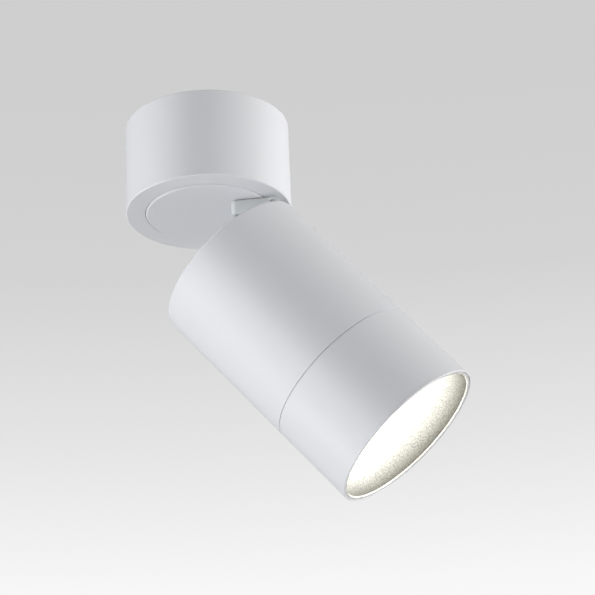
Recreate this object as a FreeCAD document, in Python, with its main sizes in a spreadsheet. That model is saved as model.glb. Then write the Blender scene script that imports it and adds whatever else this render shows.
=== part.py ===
"""Surface mounted ceiling spotlight: a round canopy, a swivel disc with a U-shaped arm, a tilting head.

Millimetres, +Z up. The origin is the centre of the mounting plate's ceiling face, and the light hangs
below it. The hinge axis runs along Y, and the head leans towards +X. Every piece of the head is drawn
as it stands when the head hangs straight down under the canopy, and is then tilted about the hinge.
"""
import FreeCAD, Part
import math
import os
import Sketcher
from FreeCAD import Placement, Rotation, Vector

SIZES = (
    # canopy shell: a deep cup, open towards the ceiling
    ("canopy_dia", 90), ("canopy_height", 52), ("canopy_wall", 1.8), ("canopy_floor", 2.6),
    ("ceiling_gap", 0.4), ("edge_break", 0.5), ("post_dia", 6), ("post_height", 5.4), ("post_inset", 3.8),
    # mounting plate and its bayonet
    ("plate_thick", 1.5), ("plate_slack", 0.3), ("plate_rim", 9), ("entry_dia", 26),
    ("slot_spacing", 62), ("slot_width", 4.6), ("slot_length", 11),
    ("lug_angle", 8), ("lug_height", 2.4), ("lug_reach", 1.3), ("lug_level", 5.4), ("bayonet_slack", 0.3),
    ("bayonet_turn", 16), ("lock_level", 4.4),
    # swivel: disc, hub, washers and nut
    ("disc_dia", 68.5), ("disc_gap", 0.35), ("disc_drop", 0.8), ("disc_thick", 4), ("disc_edge", 0.8),
    ("shoulder_dia", 26), ("hub_dia", 15.9), ("hub_play", 0.05), ("hub_bore", 10.5), ("hub_floor", 3),
    ("hub_spare", 0.8), ("glide_thick", 0.5), ("tab_thick", 1.2), ("tab_dia", 22), ("tab_reach", 15.6),
    ("tab_width", 3.2), ("wave_thick", 0.8), ("nut_height", 4.5), ("nut_flats", 20),
    ("stop_dia", 3), ("stop_reach", 13.6), ("stop_height", 3), ("lead_width", 7),
    # carrier plate above the disc, and the tray with the driver on it
    ("carrier_thick", 2), ("carrier_slack", 0.5), ("tray_thick", 1.2), ("tray_rise", 13),
    ("tray_long", 68), ("tray_wide", 54), ("tray_foot", 8), ("foot_wide", 20),
    ("driver_long", 60), ("driver_wide", 34), ("driver_high", 16), ("driver_shift", 8.5), ("driver_ear", 3.6),
    ("block_long", 30), ("block_wide", 14), ("block_high", 12), ("block_shift", 18.5), ("wire_dia", 3.4),
    ("clamp_thick", 3.4), ("clamp_long", 15), ("clamp_wide", 7), ("clamp_reach", 24), ("supply_dia", 5),
    ("earth_reach", 24),
    # arm bracket
    ("arm_start", 13.8), ("arm_width", 31.4), ("arm_wall", 2.2), ("arm_height", 8.3), ("arm_base", 2),
    ("arm_base_end", 30.5), ("arm_corner", 3), ("ear_reach", 4), ("ear_round", 3.7),
    ("lead_reach", 23), ("lead_dia", 7.5), ("grommet_flange", 1.2), ("arm_screw_pitch", 18),
    # tilt hinge
    ("pin_reach", 36.5), ("pin_drop", 5.2), ("pin_dia", 4), ("pin_play", 0.05), ("rest_tilt", 40),
    ("pin_head_dia", 7), ("pin_head_high", 1.8), ("pin_nut_flats", 6.4), ("pin_nut_high", 2.2),
    ("washer_thick", 0.5), ("washer_dia", 7.4), ("knuckle_dia", 7.8), ("foot_start", 17.6),
    ("foot_thick", 2.4), ("foot_screw_pitch", 18),
    # head housing, heat sink and light source
    ("head_gap", 9.5), ("head_dia", 90), ("head_length", 138.5), ("seam_at", 89), ("head_wall", 2),
    ("head_back", 3), ("head_round", 1.6), ("seam_groove", 0.5), ("seam_width", 0.6),
    ("spigot_long", 8), ("spigot_thick", 2), ("spigot_slack", 0.1),
    ("sink_slack", 0.2), ("sink_start", 14), ("sink_base", 10), ("sink_front", 80), ("sink_core", 20),
    ("fin_thick", 1.6), ("fin_count", 16), ("sink_screw_dia", 5), ("sink_screw_long", 14),
    ("pad_thick", 0.3), ("chip_side", 24), ("chip_thick", 1.4), ("glow_dia", 17), ("glow_thick", 0.6),
    ("holder_dia", 46), ("holder_high", 4.5), ("holder_open", 19.6), ("holder_pitch", 36),
    # reflector and front barrel
    ("front_wall", 0.8), ("ledge_wall", 1.5), ("ledge_depth", 1.1), ("lip_round", 0.3),
    ("bowl_wall", 0.7), ("bowl_radius", 110), ("bowl_flange", 0.8), ("bowl_slack", 0.2),
    # fasteners
    ("screw_dia", 3), ("screw_play", 0.1), ("screw_head_dia", 5.6), ("screw_head_high", 1.9),
    ("driver_screw_long", 3),
)

doc = FreeCAD.newDocument("ceiling_spotlight")
sheet = doc.addObject("Spreadsheet::Sheet", "dims")
parts = []


class Size:
    """A size worked out from the sheet: its value now, and the formula that binds it."""

    def __init__(self, value, formula=None):
        self.value = float(value)
        self.formula = formula if formula else repr(round(float(value), 6))

    def joined(self, other, sign, result):
        return Size(result, f"({self.formula} {sign} {other.formula})")

    def __add__(self, other):
        other = as_size(other)
        return self.joined(other, "+", self.value + other.value)

    def __sub__(self, other):
        other = as_size(other)
        return self.joined(other, "-", self.value - other.value)

    def __mul__(self, other):
        other = as_size(other)
        return self.joined(other, "*", self.value * other.value)

    def __truediv__(self, other):
        other = as_size(other)
        return self.joined(other, "/", self.value / other.value)

    def __neg__(self):
        return Size(-self.value, f"(-{self.formula})")

    def __radd__(self, other):
        return as_size(other) + self

    def __rsub__(self, other):
        return as_size(other) - self

    def __rmul__(self, other):
        return as_size(other) * self


def as_size(value):
    """A bare number becomes a Size of its own, and a Size stays as it is."""
    return value if isinstance(value, Size) else Size(value)


def fill_sheet():
    """Writes each driving dimension into the sheet and gives its cell the dimension's name."""
    for row, (alias, value) in enumerate(SIZES, start=1):
        sheet.set(f"A{row}", alias)
        sheet.set(f"B{row}", str(value))
        sheet.setAlias(f"B{row}", alias)
    doc.recompute()
    return {alias: Size(getattr(sheet, alias), f"dims.{alias}") for alias, _ in SIZES}


D = fill_sheet()


# ---------------------------------------------------------------- drawing helpers

def bind(target, place, size):
    """Binds a property or a sketch dimension to its formula."""
    target.setExpression(place, as_size(size).formula)


def new_body(name):
    """Starts a sub-part: a body whose label names its file."""
    body = doc.addObject("PartDesign::Body", name)
    body.Label = name
    parts.append(body)
    return body


def new_sketch(body, role, level=0, azimuth=0):
    """A sketch on one of the body's origin planes, lifted by level or turned about Z by azimuth."""
    sketch = body.newObject("Sketcher::SketchObject", f"{body.Name}_sketch")
    plane = [item for item in body.Origin.OriginFeatures if item.Role == role][0]
    sketch.AttachmentSupport = [(plane, "")]
    sketch.MapMode = "FlatFace"
    if azimuth:
        sketch.AttachmentOffset = Placement(Vector(), Rotation(Vector(0, 1, 0), azimuth))
    bind(sketch, "AttachmentOffset.Base.z", level)
    return sketch


def fix(sketch, kind, geometry, point, size):
    """Holds one coordinate of a sketch point at a bound distance from the sketch's origin."""
    size = as_size(size)
    index = sketch.addConstraint(Sketcher.Constraint(kind, -1, 1, geometry, point, size.value))
    sketch.setExpression(f"Constraints[{index}]", size.formula)


def arc_between(start, end, radius):
    """The short arc between two points, drawn counter-clockwise; a positive radius bulges to the right."""
    chord = end - start
    half = chord.Length / 2
    side = Vector(chord.y, -chord.x, 0).normalize()
    rise = abs(radius) - math.sqrt(max(radius ** 2 - half ** 2, 0))
    middle = (start + end) / 2 + side * math.copysign(rise, radius)
    return Part.Arc(start, middle, end) if radius > 0 else Part.Arc(end, middle, start)


def outline(sketch, points, arcs=None, centres=None):
    """A closed outline through the points; arcs gives, by the number of its first point, an arc's radius.

    A half circle is held by the X of its centre, given in centres, because its radius can't place it.
    """
    arcs = arcs or {}
    centres = centres or {}
    places = [Vector(as_size(x).value, as_size(y).value, 0) for x, y in points]
    first = sketch.GeometryCount
    count = len(points)
    starts = {}
    for number, start in enumerate(places):
        end = places[(number + 1) % count]
        if number in arcs:
            edge = arc_between(start, end, as_size(arcs[number]).value)
            sketch.addGeometry(edge, False)
            made = sketch.Geometry[first + number]
            starts[number] = 1 if made.StartPoint.distanceToPoint(start) < 1e-6 else 2
        else:
            sketch.addGeometry(Part.LineSegment(start, end), False)
            starts[number] = 1
    for number in range(count):
        after = (number + 1) % count
        sketch.addConstraint(Sketcher.Constraint(
            "Coincident", first + number, 3 - starts[number], first + after, starts[after]))
    for number, (x, y) in enumerate(points):
        fix(sketch, "DistanceX", first + number, starts[number], x)
        fix(sketch, "DistanceY", first + number, starts[number], y)
    for number, x in centres.items():
        fix(sketch, "DistanceX", first + number, 3, x)
    for number, radius in arcs.items():
        if number in centres:
            continue
        size = as_size(radius)
        index = sketch.addConstraint(Sketcher.Constraint("Radius", first + number, abs(size.value)))
        sketch.setExpression(f"Constraints[{index}]", f"abs({size.formula})")


def rectangle(sketch, left, right, low, high):
    outline(sketch, [(left, low), (right, low), (right, high), (left, high)])


def circle(sketch, x, y, diameter):
    """A circle with a bound centre and diameter."""
    x, y, diameter = as_size(x), as_size(y), as_size(diameter)
    number = sketch.GeometryCount
    sketch.addGeometry(Part.Circle(Vector(x.value, y.value, 0), Vector(0, 0, 1), diameter.value / 2), False)
    fix(sketch, "DistanceX", number, 3, x)
    fix(sketch, "DistanceY", number, 3, y)
    index = sketch.addConstraint(Sketcher.Constraint("Diameter", number, diameter.value))
    sketch.setExpression(f"Constraints[{index}]", diameter.formula)


def hexagon(sketch, x, y, flats):
    """A hexagon with two corners along X, across-flats size bound."""
    x, y, flats = as_size(x), as_size(y), as_size(flats)
    points = []
    for corner in range(6):
        angle = math.radians(60 * corner)
        reach = 1 / math.sqrt(3)
        points.append((x + flats * round(reach * math.cos(angle), 9),
                       y + flats * round(reach * math.sin(angle), 9)))
    outline(sketch, points)


def finish(body, feature, grows):
    """Recomputes a feature and stops if it added or removed nothing."""
    before = body.Shape.Volume if not body.Shape.isNull() else 0
    doc.recompute()
    after = body.Shape.Volume
    if (after <= before + 1e-6) if grows else (after >= before - 1e-6):
        raise RuntimeError(f"{feature.Label} changed nothing")
    return feature


def raise_up(body, sketch, height):
    """Pads a horizontal sketch upwards."""
    pad = body.newObject("PartDesign::Pad", f"{body.Name}_pad")
    pad.Profile = sketch
    bind(pad, "Length", height)
    sketch.Visibility = False
    return finish(body, pad, True)


def cut(body, sketch, depth, upwards=False):
    """Cuts a sketch's outline out, down along its normal or up."""
    pocket = body.newObject("PartDesign::Pocket", f"{body.Name}_pocket")
    pocket.Profile = sketch
    pocket.Reversed = upwards
    bind(pocket, "Length", depth)
    return finish(body, pocket, False)


def turn(body, points, arcs=None, azimuth=0, angle=360, hollow=False):
    """Revolves an outline, given as radius and height, about Z; hollow takes it away instead."""
    sketch = new_sketch(body, "XZ_Plane", azimuth=azimuth)
    outline(sketch, points, arcs)
    kind = "Groove" if hollow else "Revolution"
    feature = body.newObject(f"PartDesign::{kind}", f"{body.Name}_turned")
    feature.Profile = sketch
    feature.ReferenceAxis = (sketch, ["V_Axis"])
    bind(feature, "Angle", angle)
    return finish(body, feature, not hollow)


def ring(body, inner_dia, outer_dia, low, high, **options):
    """A turned ring, or its cut, between two diameters and two heights."""
    inner, outer = as_size(inner_dia) / 2, as_size(outer_dia) / 2
    return turn(body, [(inner, low), (outer, low), (outer, high), (inner, high)], **options)


def rod(body, diameter, low, high):
    """A solid turned rod on the Z axis."""
    sketch = new_sketch(body, "XY_Plane", low)
    circle(sketch, 0, 0, diameter)
    return raise_up(body, sketch, high - low)


def drill(body, x, y, diameter, top, depth):
    """A round hole going down from the level top."""
    sketch = new_sketch(body, "XY_Plane", top)
    circle(sketch, x, y, diameter)
    return cut(body, sketch, depth)


def around(body, features, count):
    """Repeats features evenly about the Z axis."""
    pattern = body.newObject("PartDesign::PolarPattern", f"{body.Name}_pattern")
    pattern.Originals = features
    pattern.Axis = (features[0].Profile[0], ["V_Axis" if is_upright(features[0]) else "N_Axis"])
    pattern.Angle = 360
    bind(pattern, "Occurrences", count)
    before = body.Shape.Volume
    body.Tip = pattern
    doc.recompute()
    if abs(body.Shape.Volume - before) < 1e-6:
        raise RuntimeError(f"{pattern.Label} changed nothing")
    return pattern


def is_upright(feature):
    """True where the feature's sketch stands on the XZ plane, so that its own Y axis is the part's Z."""
    return feature.Profile[0].AttachmentSupport[0][0].Role == "XZ_Plane"


def soften(body, kind, size, test, grows=False):
    """Fillets or chamfers the edges that the test picks; an inner corner's fillet adds to the body."""
    base = body.Tip
    names = [f"Edge{number}" for number, edge in enumerate(base.Shape.Edges, start=1) if test(edge)]
    feature = body.newObject(f"PartDesign::{kind}", f"{body.Name}_{kind.lower()}")
    feature.Base = (base, names)
    bind(feature, "Radius" if kind == "Fillet" else "Size", size)
    return finish(body, feature, grows)


def is_circle(edge, diameter, level):
    """True for a round edge about Z of this diameter at this height."""
    curve = edge.Curve
    return (isinstance(curve, Part.Circle) and abs(2 * curve.Radius - as_size(diameter).value) < 1e-4
            and abs(curve.Center.z - as_size(level).value) < 1e-4
            and math.hypot(curve.Center.x, curve.Center.y) < 1e-4)


# ---------------------------------------------------------------- shared levels and places

def shared_places():
    """Heights and distances that more than one piece seats on."""
    p = {}
    p["ring_face"] = -D["canopy_height"]
    p["floor_top"] = p["ring_face"] + D["canopy_floor"]
    p["shell_bore"] = D["canopy_dia"] - 2 * D["canopy_wall"]
    p["plate_dia"] = p["shell_bore"] - 2 * D["plate_slack"]
    p["carrier_low"] = p["floor_top"] + D["post_height"]
    p["carrier_top"] = p["carrier_low"] + D["carrier_thick"]
    p["carrier_dia"] = p["shell_bore"] - 2 * D["carrier_slack"]
    p["post_reach"] = p["shell_bore"] / 2 - D["post_inset"]
    p["disc_face"] = p["ring_face"] - D["disc_drop"]
    p["disc_back"] = p["disc_face"] + D["disc_thick"]
    p["shoulder_top"] = p["carrier_low"] - D["glide_thick"]
    p["tab_low"] = p["carrier_top"] + D["glide_thick"]
    p["wave_low"] = p["tab_low"] + D["tab_thick"]
    p["nut_low"] = p["wave_low"] + D["wave_thick"]
    p["hub_top"] = p["nut_low"] + D["nut_height"] + D["hub_spare"]
    p["tray_low"] = p["carrier_top"] + D["tray_rise"]
    p["tray_top"] = p["tray_low"] + D["tray_thick"]
    p["arm_low"] = p["disc_face"] - D["arm_height"]
    p["pin_level"] = p["ring_face"] - D["pin_drop"]
    p["head_top"] = p["ring_face"] - D["head_gap"]
    p["ear_inner"] = D["arm_width"] / 2 - D["arm_wall"]
    p["knuckle_half"] = p["ear_inner"] - D["washer_thick"] - D["pin_play"]
    p["front_bore"] = D["head_dia"] - 2 * D["front_wall"]
    p["housing_bore"] = D["head_dia"] - 2 * D["head_wall"]
    p["ledge_bore"] = D["head_dia"] - 2 * D["ledge_wall"]
    return p


P = shared_places()


def along(distance):
    """The height, with the head straight down, at this distance from the head's rear face."""
    return P["head_top"] - distance


def tilt(body):
    """Turns a piece of the head about the hinge, from straight down to the rest tilt."""
    x, z = D["pin_reach"].formula, P["pin_level"].formula
    turned = f"create(<<rotation>>; create(<<vector>>; 0; 1; 0); -{D['rest_tilt'].formula})"
    body.setExpression("Placement", f"create(<<placement>>; create(<<vector>>; 0; 0; 0); {turned};"
                                    f" create(<<vector>>; {x}; 0; {z}))")
    return body


# ---------------------------------------------------------------- fasteners

def screw(body, x, y, seat, length, head_dia=None, head_high=None, diameter=None, driven_up=False):
    """A pan-head screw: shank into the work from its seat, head the other way, with a cross recess."""
    diameter = diameter or D["screw_dia"]
    head_dia = head_dia or D["screw_head_dia"]
    head_high = head_high or D["screw_head_high"]
    shank_low = seat if driven_up else seat - length
    head_low = seat - head_high if driven_up else seat
    shank = new_sketch(body, "XY_Plane", shank_low)
    circle(shank, x, y, diameter)
    raise_up(body, shank, length)
    head = new_sketch(body, "XY_Plane", head_low)
    circle(head, x, y, head_dia)
    raise_up(body, head, head_high)
    recess = new_sketch(body, "XY_Plane", head_low if driven_up else head_low + head_high)
    arm = head_dia * 0.3
    slit = head_dia * 0.07
    outline(recess, cross_points(as_size(x), as_size(y), arm, slit))
    cut(body, recess, head_high * 0.55, upwards=driven_up)


def cross_points(x, y, arm, slit):
    """The twelve corners of a cross with equal arms."""
    return [(x + slit, y + slit), (x + slit, y + arm), (x - slit, y + arm), (x - slit, y + slit),
            (x - arm, y + slit), (x - arm, y - slit), (x - slit, y - slit), (x - slit, y - arm),
            (x + slit, y - arm), (x + slit, y - slit), (x + arm, y - slit), (x + arm, y + slit)]


def screw_group(name, places, seat, length, **options):
    """Identical screws share one node: a compound of one body's solid at each place."""
    master = doc.addObject("PartDesign::Body", f"{name}_one")
    screw(master, 0, 0, seat, length, **options)
    group = doc.addObject("Part::Feature", name)
    group.Label = name
    doc.recompute()
    copies = []
    for x, y in places:
        one = master.Shape.copy()
        one.translate(Vector(as_size(x).value, as_size(y).value, 0))
        copies.append(one)
    group.Shape = Part.makeCompound(copies)
    parts.append(group)
    return group


def tilt_group(group):
    """Tilts a group of screws as tilt does a body."""
    centre = Vector(D["pin_reach"].value, 0, P["pin_level"].value)
    group.Placement = Placement(Vector(), Rotation(Vector(0, 1, 0), -D["rest_tilt"].value), centre)


def polar(reach, degrees):
    """The X and Y of a point at this reach and azimuth."""
    angle = math.radians(degrees)
    return as_size(reach) * round(math.cos(angle), 9), as_size(reach) * round(math.sin(angle), 9)


POST_AZIMUTHS = (60, 180, 300)
LUG_COUNT = 3


# ---------------------------------------------------------------- canopy

def canopy_shell():
    """The deep cup that is seen: tube wall, ring floor, three screw posts, bayonet lugs, lock hole."""
    body = new_body("canopy_shell")
    outer, bore = D["canopy_dia"] / 2, P["shell_bore"] / 2
    mouth = D["disc_dia"] / 2 + D["disc_gap"]
    top, low, floor = -D["ceiling_gap"], P["ring_face"], P["floor_top"]
    edge = D["edge_break"]
    turn(body, [(mouth, low), (outer - edge, low), (outer, low + edge), (outer, top - edge),
                (outer - edge, top), (bore, top), (bore, floor), (mouth, floor)])
    posts = new_sketch(body, "XY_Plane", floor - D["edge_break"])
    for azimuth in POST_AZIMUTHS:
        circle(posts, *polar(P["post_reach"], azimuth), D["post_dia"])
    raise_up(body, posts, D["post_height"] + D["edge_break"])
    pilots = new_sketch(body, "XY_Plane", P["carrier_low"])
    for azimuth in POST_AZIMUTHS:
        circle(pilots, *polar(P["post_reach"], azimuth), D["screw_dia"])
    cut(body, pilots, D["post_height"])
    lug_top = -D["lug_level"]
    inner = bore - D["lug_reach"] - D["plate_slack"]
    lug = turn(body, [(inner, lug_top - D["lug_height"]),
                      (bore + D["canopy_wall"] / 2, lug_top - D["lug_height"]),
                      (bore + D["canopy_wall"] / 2, lug_top), (inner, lug_top)], angle=D["lug_angle"])
    around(body, [lug], LUG_COUNT)
    side = new_sketch(body, "XZ_Plane")
    circle(side, 0, -D["lock_level"], D["screw_dia"])
    cut(body, side, D["canopy_dia"])
    return body


def mounting_plate():
    """The pressed plate on the ceiling, with a turned-down rim that the canopy twists on to."""
    body = new_body("mounting_plate")
    outer = P["plate_dia"] / 2
    inner = outer - D["plate_thick"]
    entry = D["entry_dia"] / 2
    turn(body, [(entry, -D["plate_thick"]), (inner, -D["plate_thick"]), (inner, -D["plate_rim"]),
                (outer, -D["plate_rim"]), (outer, 0), (entry, 0)])
    slots = new_sketch(body, "XY_Plane", 0)
    for side in (-1, 1):
        slot(slots, D["slot_spacing"] * (side / 2), D["slot_length"], D["slot_width"])
    circle(slots, 0, -D["earth_reach"], D["screw_dia"])
    cut(body, slots, D["plate_thick"])
    slack = D["bayonet_slack"]
    low, high = -D["lug_level"] - D["lug_height"] - slack, -D["lug_level"] + slack
    cut_in, cut_out = inner - slack, outer + slack
    run = turn(body, [(cut_in, low), (cut_out, low), (cut_out, high), (cut_in, high)],
               azimuth=-BAYONET_LEAD,
               angle=D["bayonet_turn"] + D["lug_angle"] + 2 * BAYONET_LEAD, hollow=True)
    way_in = turn(body, [(cut_in, -D["plate_rim"] - slack), (cut_out, -D["plate_rim"] - slack),
                         (cut_out, high), (cut_in, high)],
                  azimuth=ENTRY_AZIMUTH, angle=D["lug_angle"] + 2 * BAYONET_LEAD, hollow=True)
    around(body, [run, way_in], LUG_COUNT)
    return body


BAYONET_LEAD = 1
ENTRY_AZIMUTH = 15


def slot(sketch, middle, length, width):
    """A slot along X with round ends, centred on the X axis."""
    half, end = width / 2, length / 2 - width / 2
    outline(sketch, [(middle - end, -half), (middle + end, -half),
                     (middle + end, half), (middle - end, half)],
            arcs={1: half, 3: half}, centres={1: middle + end, 3: middle - end})


def canopy_lock_screw():
    """The headless screw at the back that clamps the canopy to the plate's rim."""
    body = new_body("canopy_lock_screw")
    start = P["plate_dia"] / 2
    length = D["canopy_dia"] / 2 - start - D["edge_break"]
    side = new_sketch(body, "XZ_Plane", -(start + length))
    circle(side, 0, -D["lock_level"], D["screw_dia"] - 2 * D["screw_play"])
    raise_up(body, side, length)
    socket = new_sketch(body, "XZ_Plane", -(start + length))
    hexagon(socket, 0, -D["lock_level"], D["screw_dia"] / 2)
    cut(body, socket, length / 2, upwards=True)
    return body


def carrier_plate():
    """The steel plate on the posts: bore for the hub, stop pin hole, screw holes for posts and tray."""
    body = new_body("carrier_plate")
    low, high = P["carrier_low"], P["carrier_top"]
    ring(body, D["hub_dia"] + 2 * D["hub_play"], P["carrier_dia"], low, high)
    holes = new_sketch(body, "XY_Plane", high)
    for azimuth in POST_AZIMUTHS:
        circle(holes, *polar(P["post_reach"], azimuth), D["screw_dia"] + 2 * D["screw_play"])
    for x, y in tray_screw_places():
        circle(holes, x, y, D["screw_dia"])
    circle(holes, D["stop_reach"], 0, D["stop_dia"])
    cut(body, holes, D["carrier_thick"])
    return body


def stop_pin():
    """The pin in the carrier that the tab washer runs against at both ends of the swivel."""
    body = new_body("stop_pin")
    base = new_sketch(body, "XY_Plane", P["carrier_low"])
    circle(base, D["stop_reach"], 0, D["stop_dia"])
    raise_up(body, base, D["carrier_thick"] + D["stop_height"])
    soften(body, "Chamfer", D["stop_dia"] / 10,
           lambda edge: isinstance(edge.Curve, Part.Circle) and edge.Curve.Center.z > P["carrier_top"].value)
    return body


def carrier_screws():
    places = [polar(P["post_reach"], azimuth) for azimuth in POST_AZIMUTHS]
    return screw_group("carrier_screws", places, P["carrier_top"],
                       D["carrier_thick"] + D["post_height"] * 0.8,
                       diameter=D["screw_dia"])


def glide_washers():
    """Two slippery washers, one each side of the carrier plate, that the swivel turns on."""
    for name, low in (("glide_washer_lower", P["shoulder_top"]), ("glide_washer_upper", P["carrier_top"])):
        ring(new_body(name), D["hub_dia"] + 4 * D["hub_play"], D["tab_dia"], low, low + D["glide_thick"])


# ---------------------------------------------------------------- driver tray

def tray_screw_places():
    """Centres of the two screws that hold the tray's feet."""
    reach = D["tray_long"] / 2 - D["tray_foot"] / 2 - D["tray_thick"] * 1.5
    return [(reach * side, 0) for side in (-1, 1)]


def driver_tray():
    """The bent sheet that bridges the swivel nut and carries the driver and the terminals."""
    body = new_body("driver_tray")
    half, thick = D["tray_long"] / 2, D["tray_thick"]
    low, high, foot = P["tray_low"], P["tray_top"], P["carrier_top"]
    profile = new_sketch(body, "XZ_Plane", -D["foot_wide"] / 2)
    inner = half - D["tray_foot"] - thick
    outline(profile, [(-half + thick, foot), (-inner, foot), (-inner, foot + thick),
                      (-half + 2 * thick, foot + thick),
                      (-half + 2 * thick, low), (half - 2 * thick, low), (half - 2 * thick, foot + thick),
                      (inner, foot + thick), (inner, foot), (half - thick, foot), (half - thick, high),
                      (-half + thick, high)])
    raise_up(body, profile, D["foot_wide"])
    table = new_sketch(body, "XY_Plane", low)
    rectangle(table, -half + thick, half - thick, -D["tray_wide"] / 2, D["tray_wide"] / 2)
    raise_up(body, table, thick)
    soften(body, "Fillet", thick * 4, is_tray_corner)
    holes = new_sketch(body, "XY_Plane", high)
    for x, y in driver_screw_places():
        circle(holes, x, y, D["screw_dia"])
    for x, y in block_screw_places() + clamp_screw_places():
        circle(holes, x, y, D["screw_dia"])
    cut(body, holes, thick)
    feet = new_sketch(body, "XY_Plane", foot + thick)
    for x, y in tray_screw_places():
        circle(feet, x, y, D["screw_dia"] + 2 * D["screw_play"])
    cut(body, feet, thick)
    return body


def is_tray_corner(edge):
    """True for the four upright corners of the tray's table."""
    box = edge.BoundBox
    return (box.XLength < 1e-6 and box.YLength < 1e-6
            and abs(abs(box.YMin) - D["tray_wide"].value / 2) < 1e-4)


def driver_screw_places():
    """Centres of the screws in the driver's two end ears."""
    reach = D["driver_long"] / 2 - D["driver_ear"]
    return [(reach * side, -D["driver_shift"]) for side in (-1, 1)]


def block_screw_places():
    """Centres of the two screws through the terminal block, between its three ways."""
    reach = D["block_long"] / 6
    return [(reach * side, D["block_shift"]) for side in (-1, 1)]


def clamp_screw_places():
    """Centres of the two screws of the supply cable's clamp."""
    reach = D["clamp_long"] / 2 - D["screw_dia"] * 0.9
    return [(D["clamp_reach"], D["block_shift"] + reach * side) for side in (-1, 1)]


def led_driver():
    """The boxed driver: a body with rounded upright corners, a lid line, end ears and lead outlets."""
    body = new_body("led_driver")
    low = P["tray_top"]
    long_half, wide_half = D["driver_long"] / 2, D["driver_wide"] / 2
    middle = -D["driver_shift"]
    ear = D["driver_ear"] * 2
    base = new_sketch(body, "XY_Plane", low)
    rectangle(base, -long_half, long_half, middle - wide_half, middle + wide_half)
    raise_up(body, base, D["tray_thick"] * 2)
    box = new_sketch(body, "XY_Plane", low)
    rectangle(box, -long_half + ear, long_half - ear, middle - wide_half, middle + wide_half)
    raise_up(body, box, D["driver_high"])
    soften(body, "Fillet", D["driver_ear"] / 2, lambda edge: is_upright_edge(edge, D["driver_high"].value))
    holes = new_sketch(body, "XY_Plane", low + D["tray_thick"] * 2)
    for x, y in driver_screw_places():
        circle(holes, x, y, D["screw_dia"] + 2 * D["screw_play"])
    cut(body, holes, D["tray_thick"] * 2)
    outlet = new_sketch(body, "YZ_Plane", long_half - ear)
    for step in (-1, 1):
        circle(outlet, middle + D["wire_dia"] * step, low + D["driver_high"] * 0.55, D["wire_dia"])
    cut(body, outlet, D["wire_dia"])
    return body


def is_upright_edge(edge, least=0.0):
    """True for a straight upright edge at least this long."""
    box = edge.BoundBox
    return box.XLength < 1e-6 and box.YLength < 1e-6 and box.ZLength > least - 3


def driver_screws():
    seat = P["tray_top"] + D["tray_thick"] * 2
    return screw_group("driver_screws", driver_screw_places(), seat,
                       D["tray_thick"] * 2 + D["driver_screw_long"])


def terminal_block():
    """The three-way block for the supply wires: stepped body, wire funnels and screw wells."""
    body = new_body("terminal_block")
    low, middle = P["tray_top"], D["block_shift"]
    half, wide = D["block_long"] / 2, D["block_wide"] / 2
    base = new_sketch(body, "XY_Plane", low)
    rectangle(base, -half, half, middle - wide, middle + wide)
    raise_up(body, base, D["block_high"] * 0.6)
    step = new_sketch(body, "XY_Plane", low)
    rectangle(step, -half, half, middle - wide / 2, middle + wide / 2)
    raise_up(body, step, D["block_high"])
    pitch = D["block_long"] / 3
    funnels = new_sketch(body, "XZ_Plane", -(middle + wide))
    wells = new_sketch(body, "XY_Plane", low + D["block_high"])
    for way in (-1, 0, 1):
        circle(funnels, pitch * way, low + D["block_high"] * 0.3, D["wire_dia"])
        circle(wells, pitch * way, middle, D["wire_dia"])
    cut(body, funnels, D["block_wide"], upwards=True)
    cut(body, wells, D["block_high"] * 0.5)
    holes = new_sketch(body, "XY_Plane", low + D["block_high"])
    for x, y in block_screw_places():
        circle(holes, x, y, D["screw_dia"] + 2 * D["screw_play"])
    cut(body, holes, D["block_high"])
    heads = new_sketch(body, "XY_Plane", low + D["block_high"])
    for x, y in block_screw_places():
        circle(heads, x, y, D["screw_head_dia"] + 2 * D["screw_play"])
    cut(body, heads, D["block_high"] / 2)
    return body


def block_screws():
    seat = P["tray_top"] + D["block_high"] / 2
    return screw_group("block_screws", block_screw_places(), seat, D["block_high"] / 2 + D["tray_thick"])


def tray_screws():
    seat = P["carrier_top"] + D["tray_thick"]
    return screw_group("tray_screws", tray_screw_places(), seat, D["tray_thick"] + D["carrier_thick"])


def cable_clamp():
    """The saddle that grips the supply cable on the tray."""
    body = new_body("cable_clamp")
    low, middle = P["tray_top"], D["block_shift"]
    left = D["clamp_reach"] - D["clamp_wide"] / 2
    base = new_sketch(body, "XY_Plane", low)
    rectangle(base, left, left + D["clamp_wide"], middle - D["clamp_long"] / 2, middle + D["clamp_long"] / 2)
    raise_up(body, base, D["clamp_thick"])
    soften(body, "Fillet", D["edge_break"] * 2, is_upright_edge)
    groove = new_sketch(body, "YZ_Plane", left + D["clamp_wide"])
    circle(groove, middle, low, D["supply_dia"])
    cut(body, groove, D["clamp_wide"])
    holes = new_sketch(body, "XY_Plane", low + D["clamp_thick"])
    for x, y in clamp_screw_places():
        circle(holes, x, y, D["screw_dia"] + 2 * D["screw_play"])
    cut(body, holes, D["clamp_thick"])
    return body


def clamp_screws():
    seat = P["tray_top"] + D["clamp_thick"]
    return screw_group("clamp_screws", clamp_screw_places(), seat, D["clamp_thick"] + D["tray_thick"])


def earth_screw():
    """The earth terminal under the mounting plate."""
    body = new_body("earth_screw")
    screw(body, 0, -D["earth_reach"], -D["plate_thick"], D["plate_thick"], driven_up=True)
    return body


# ---------------------------------------------------------------- swivel

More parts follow.
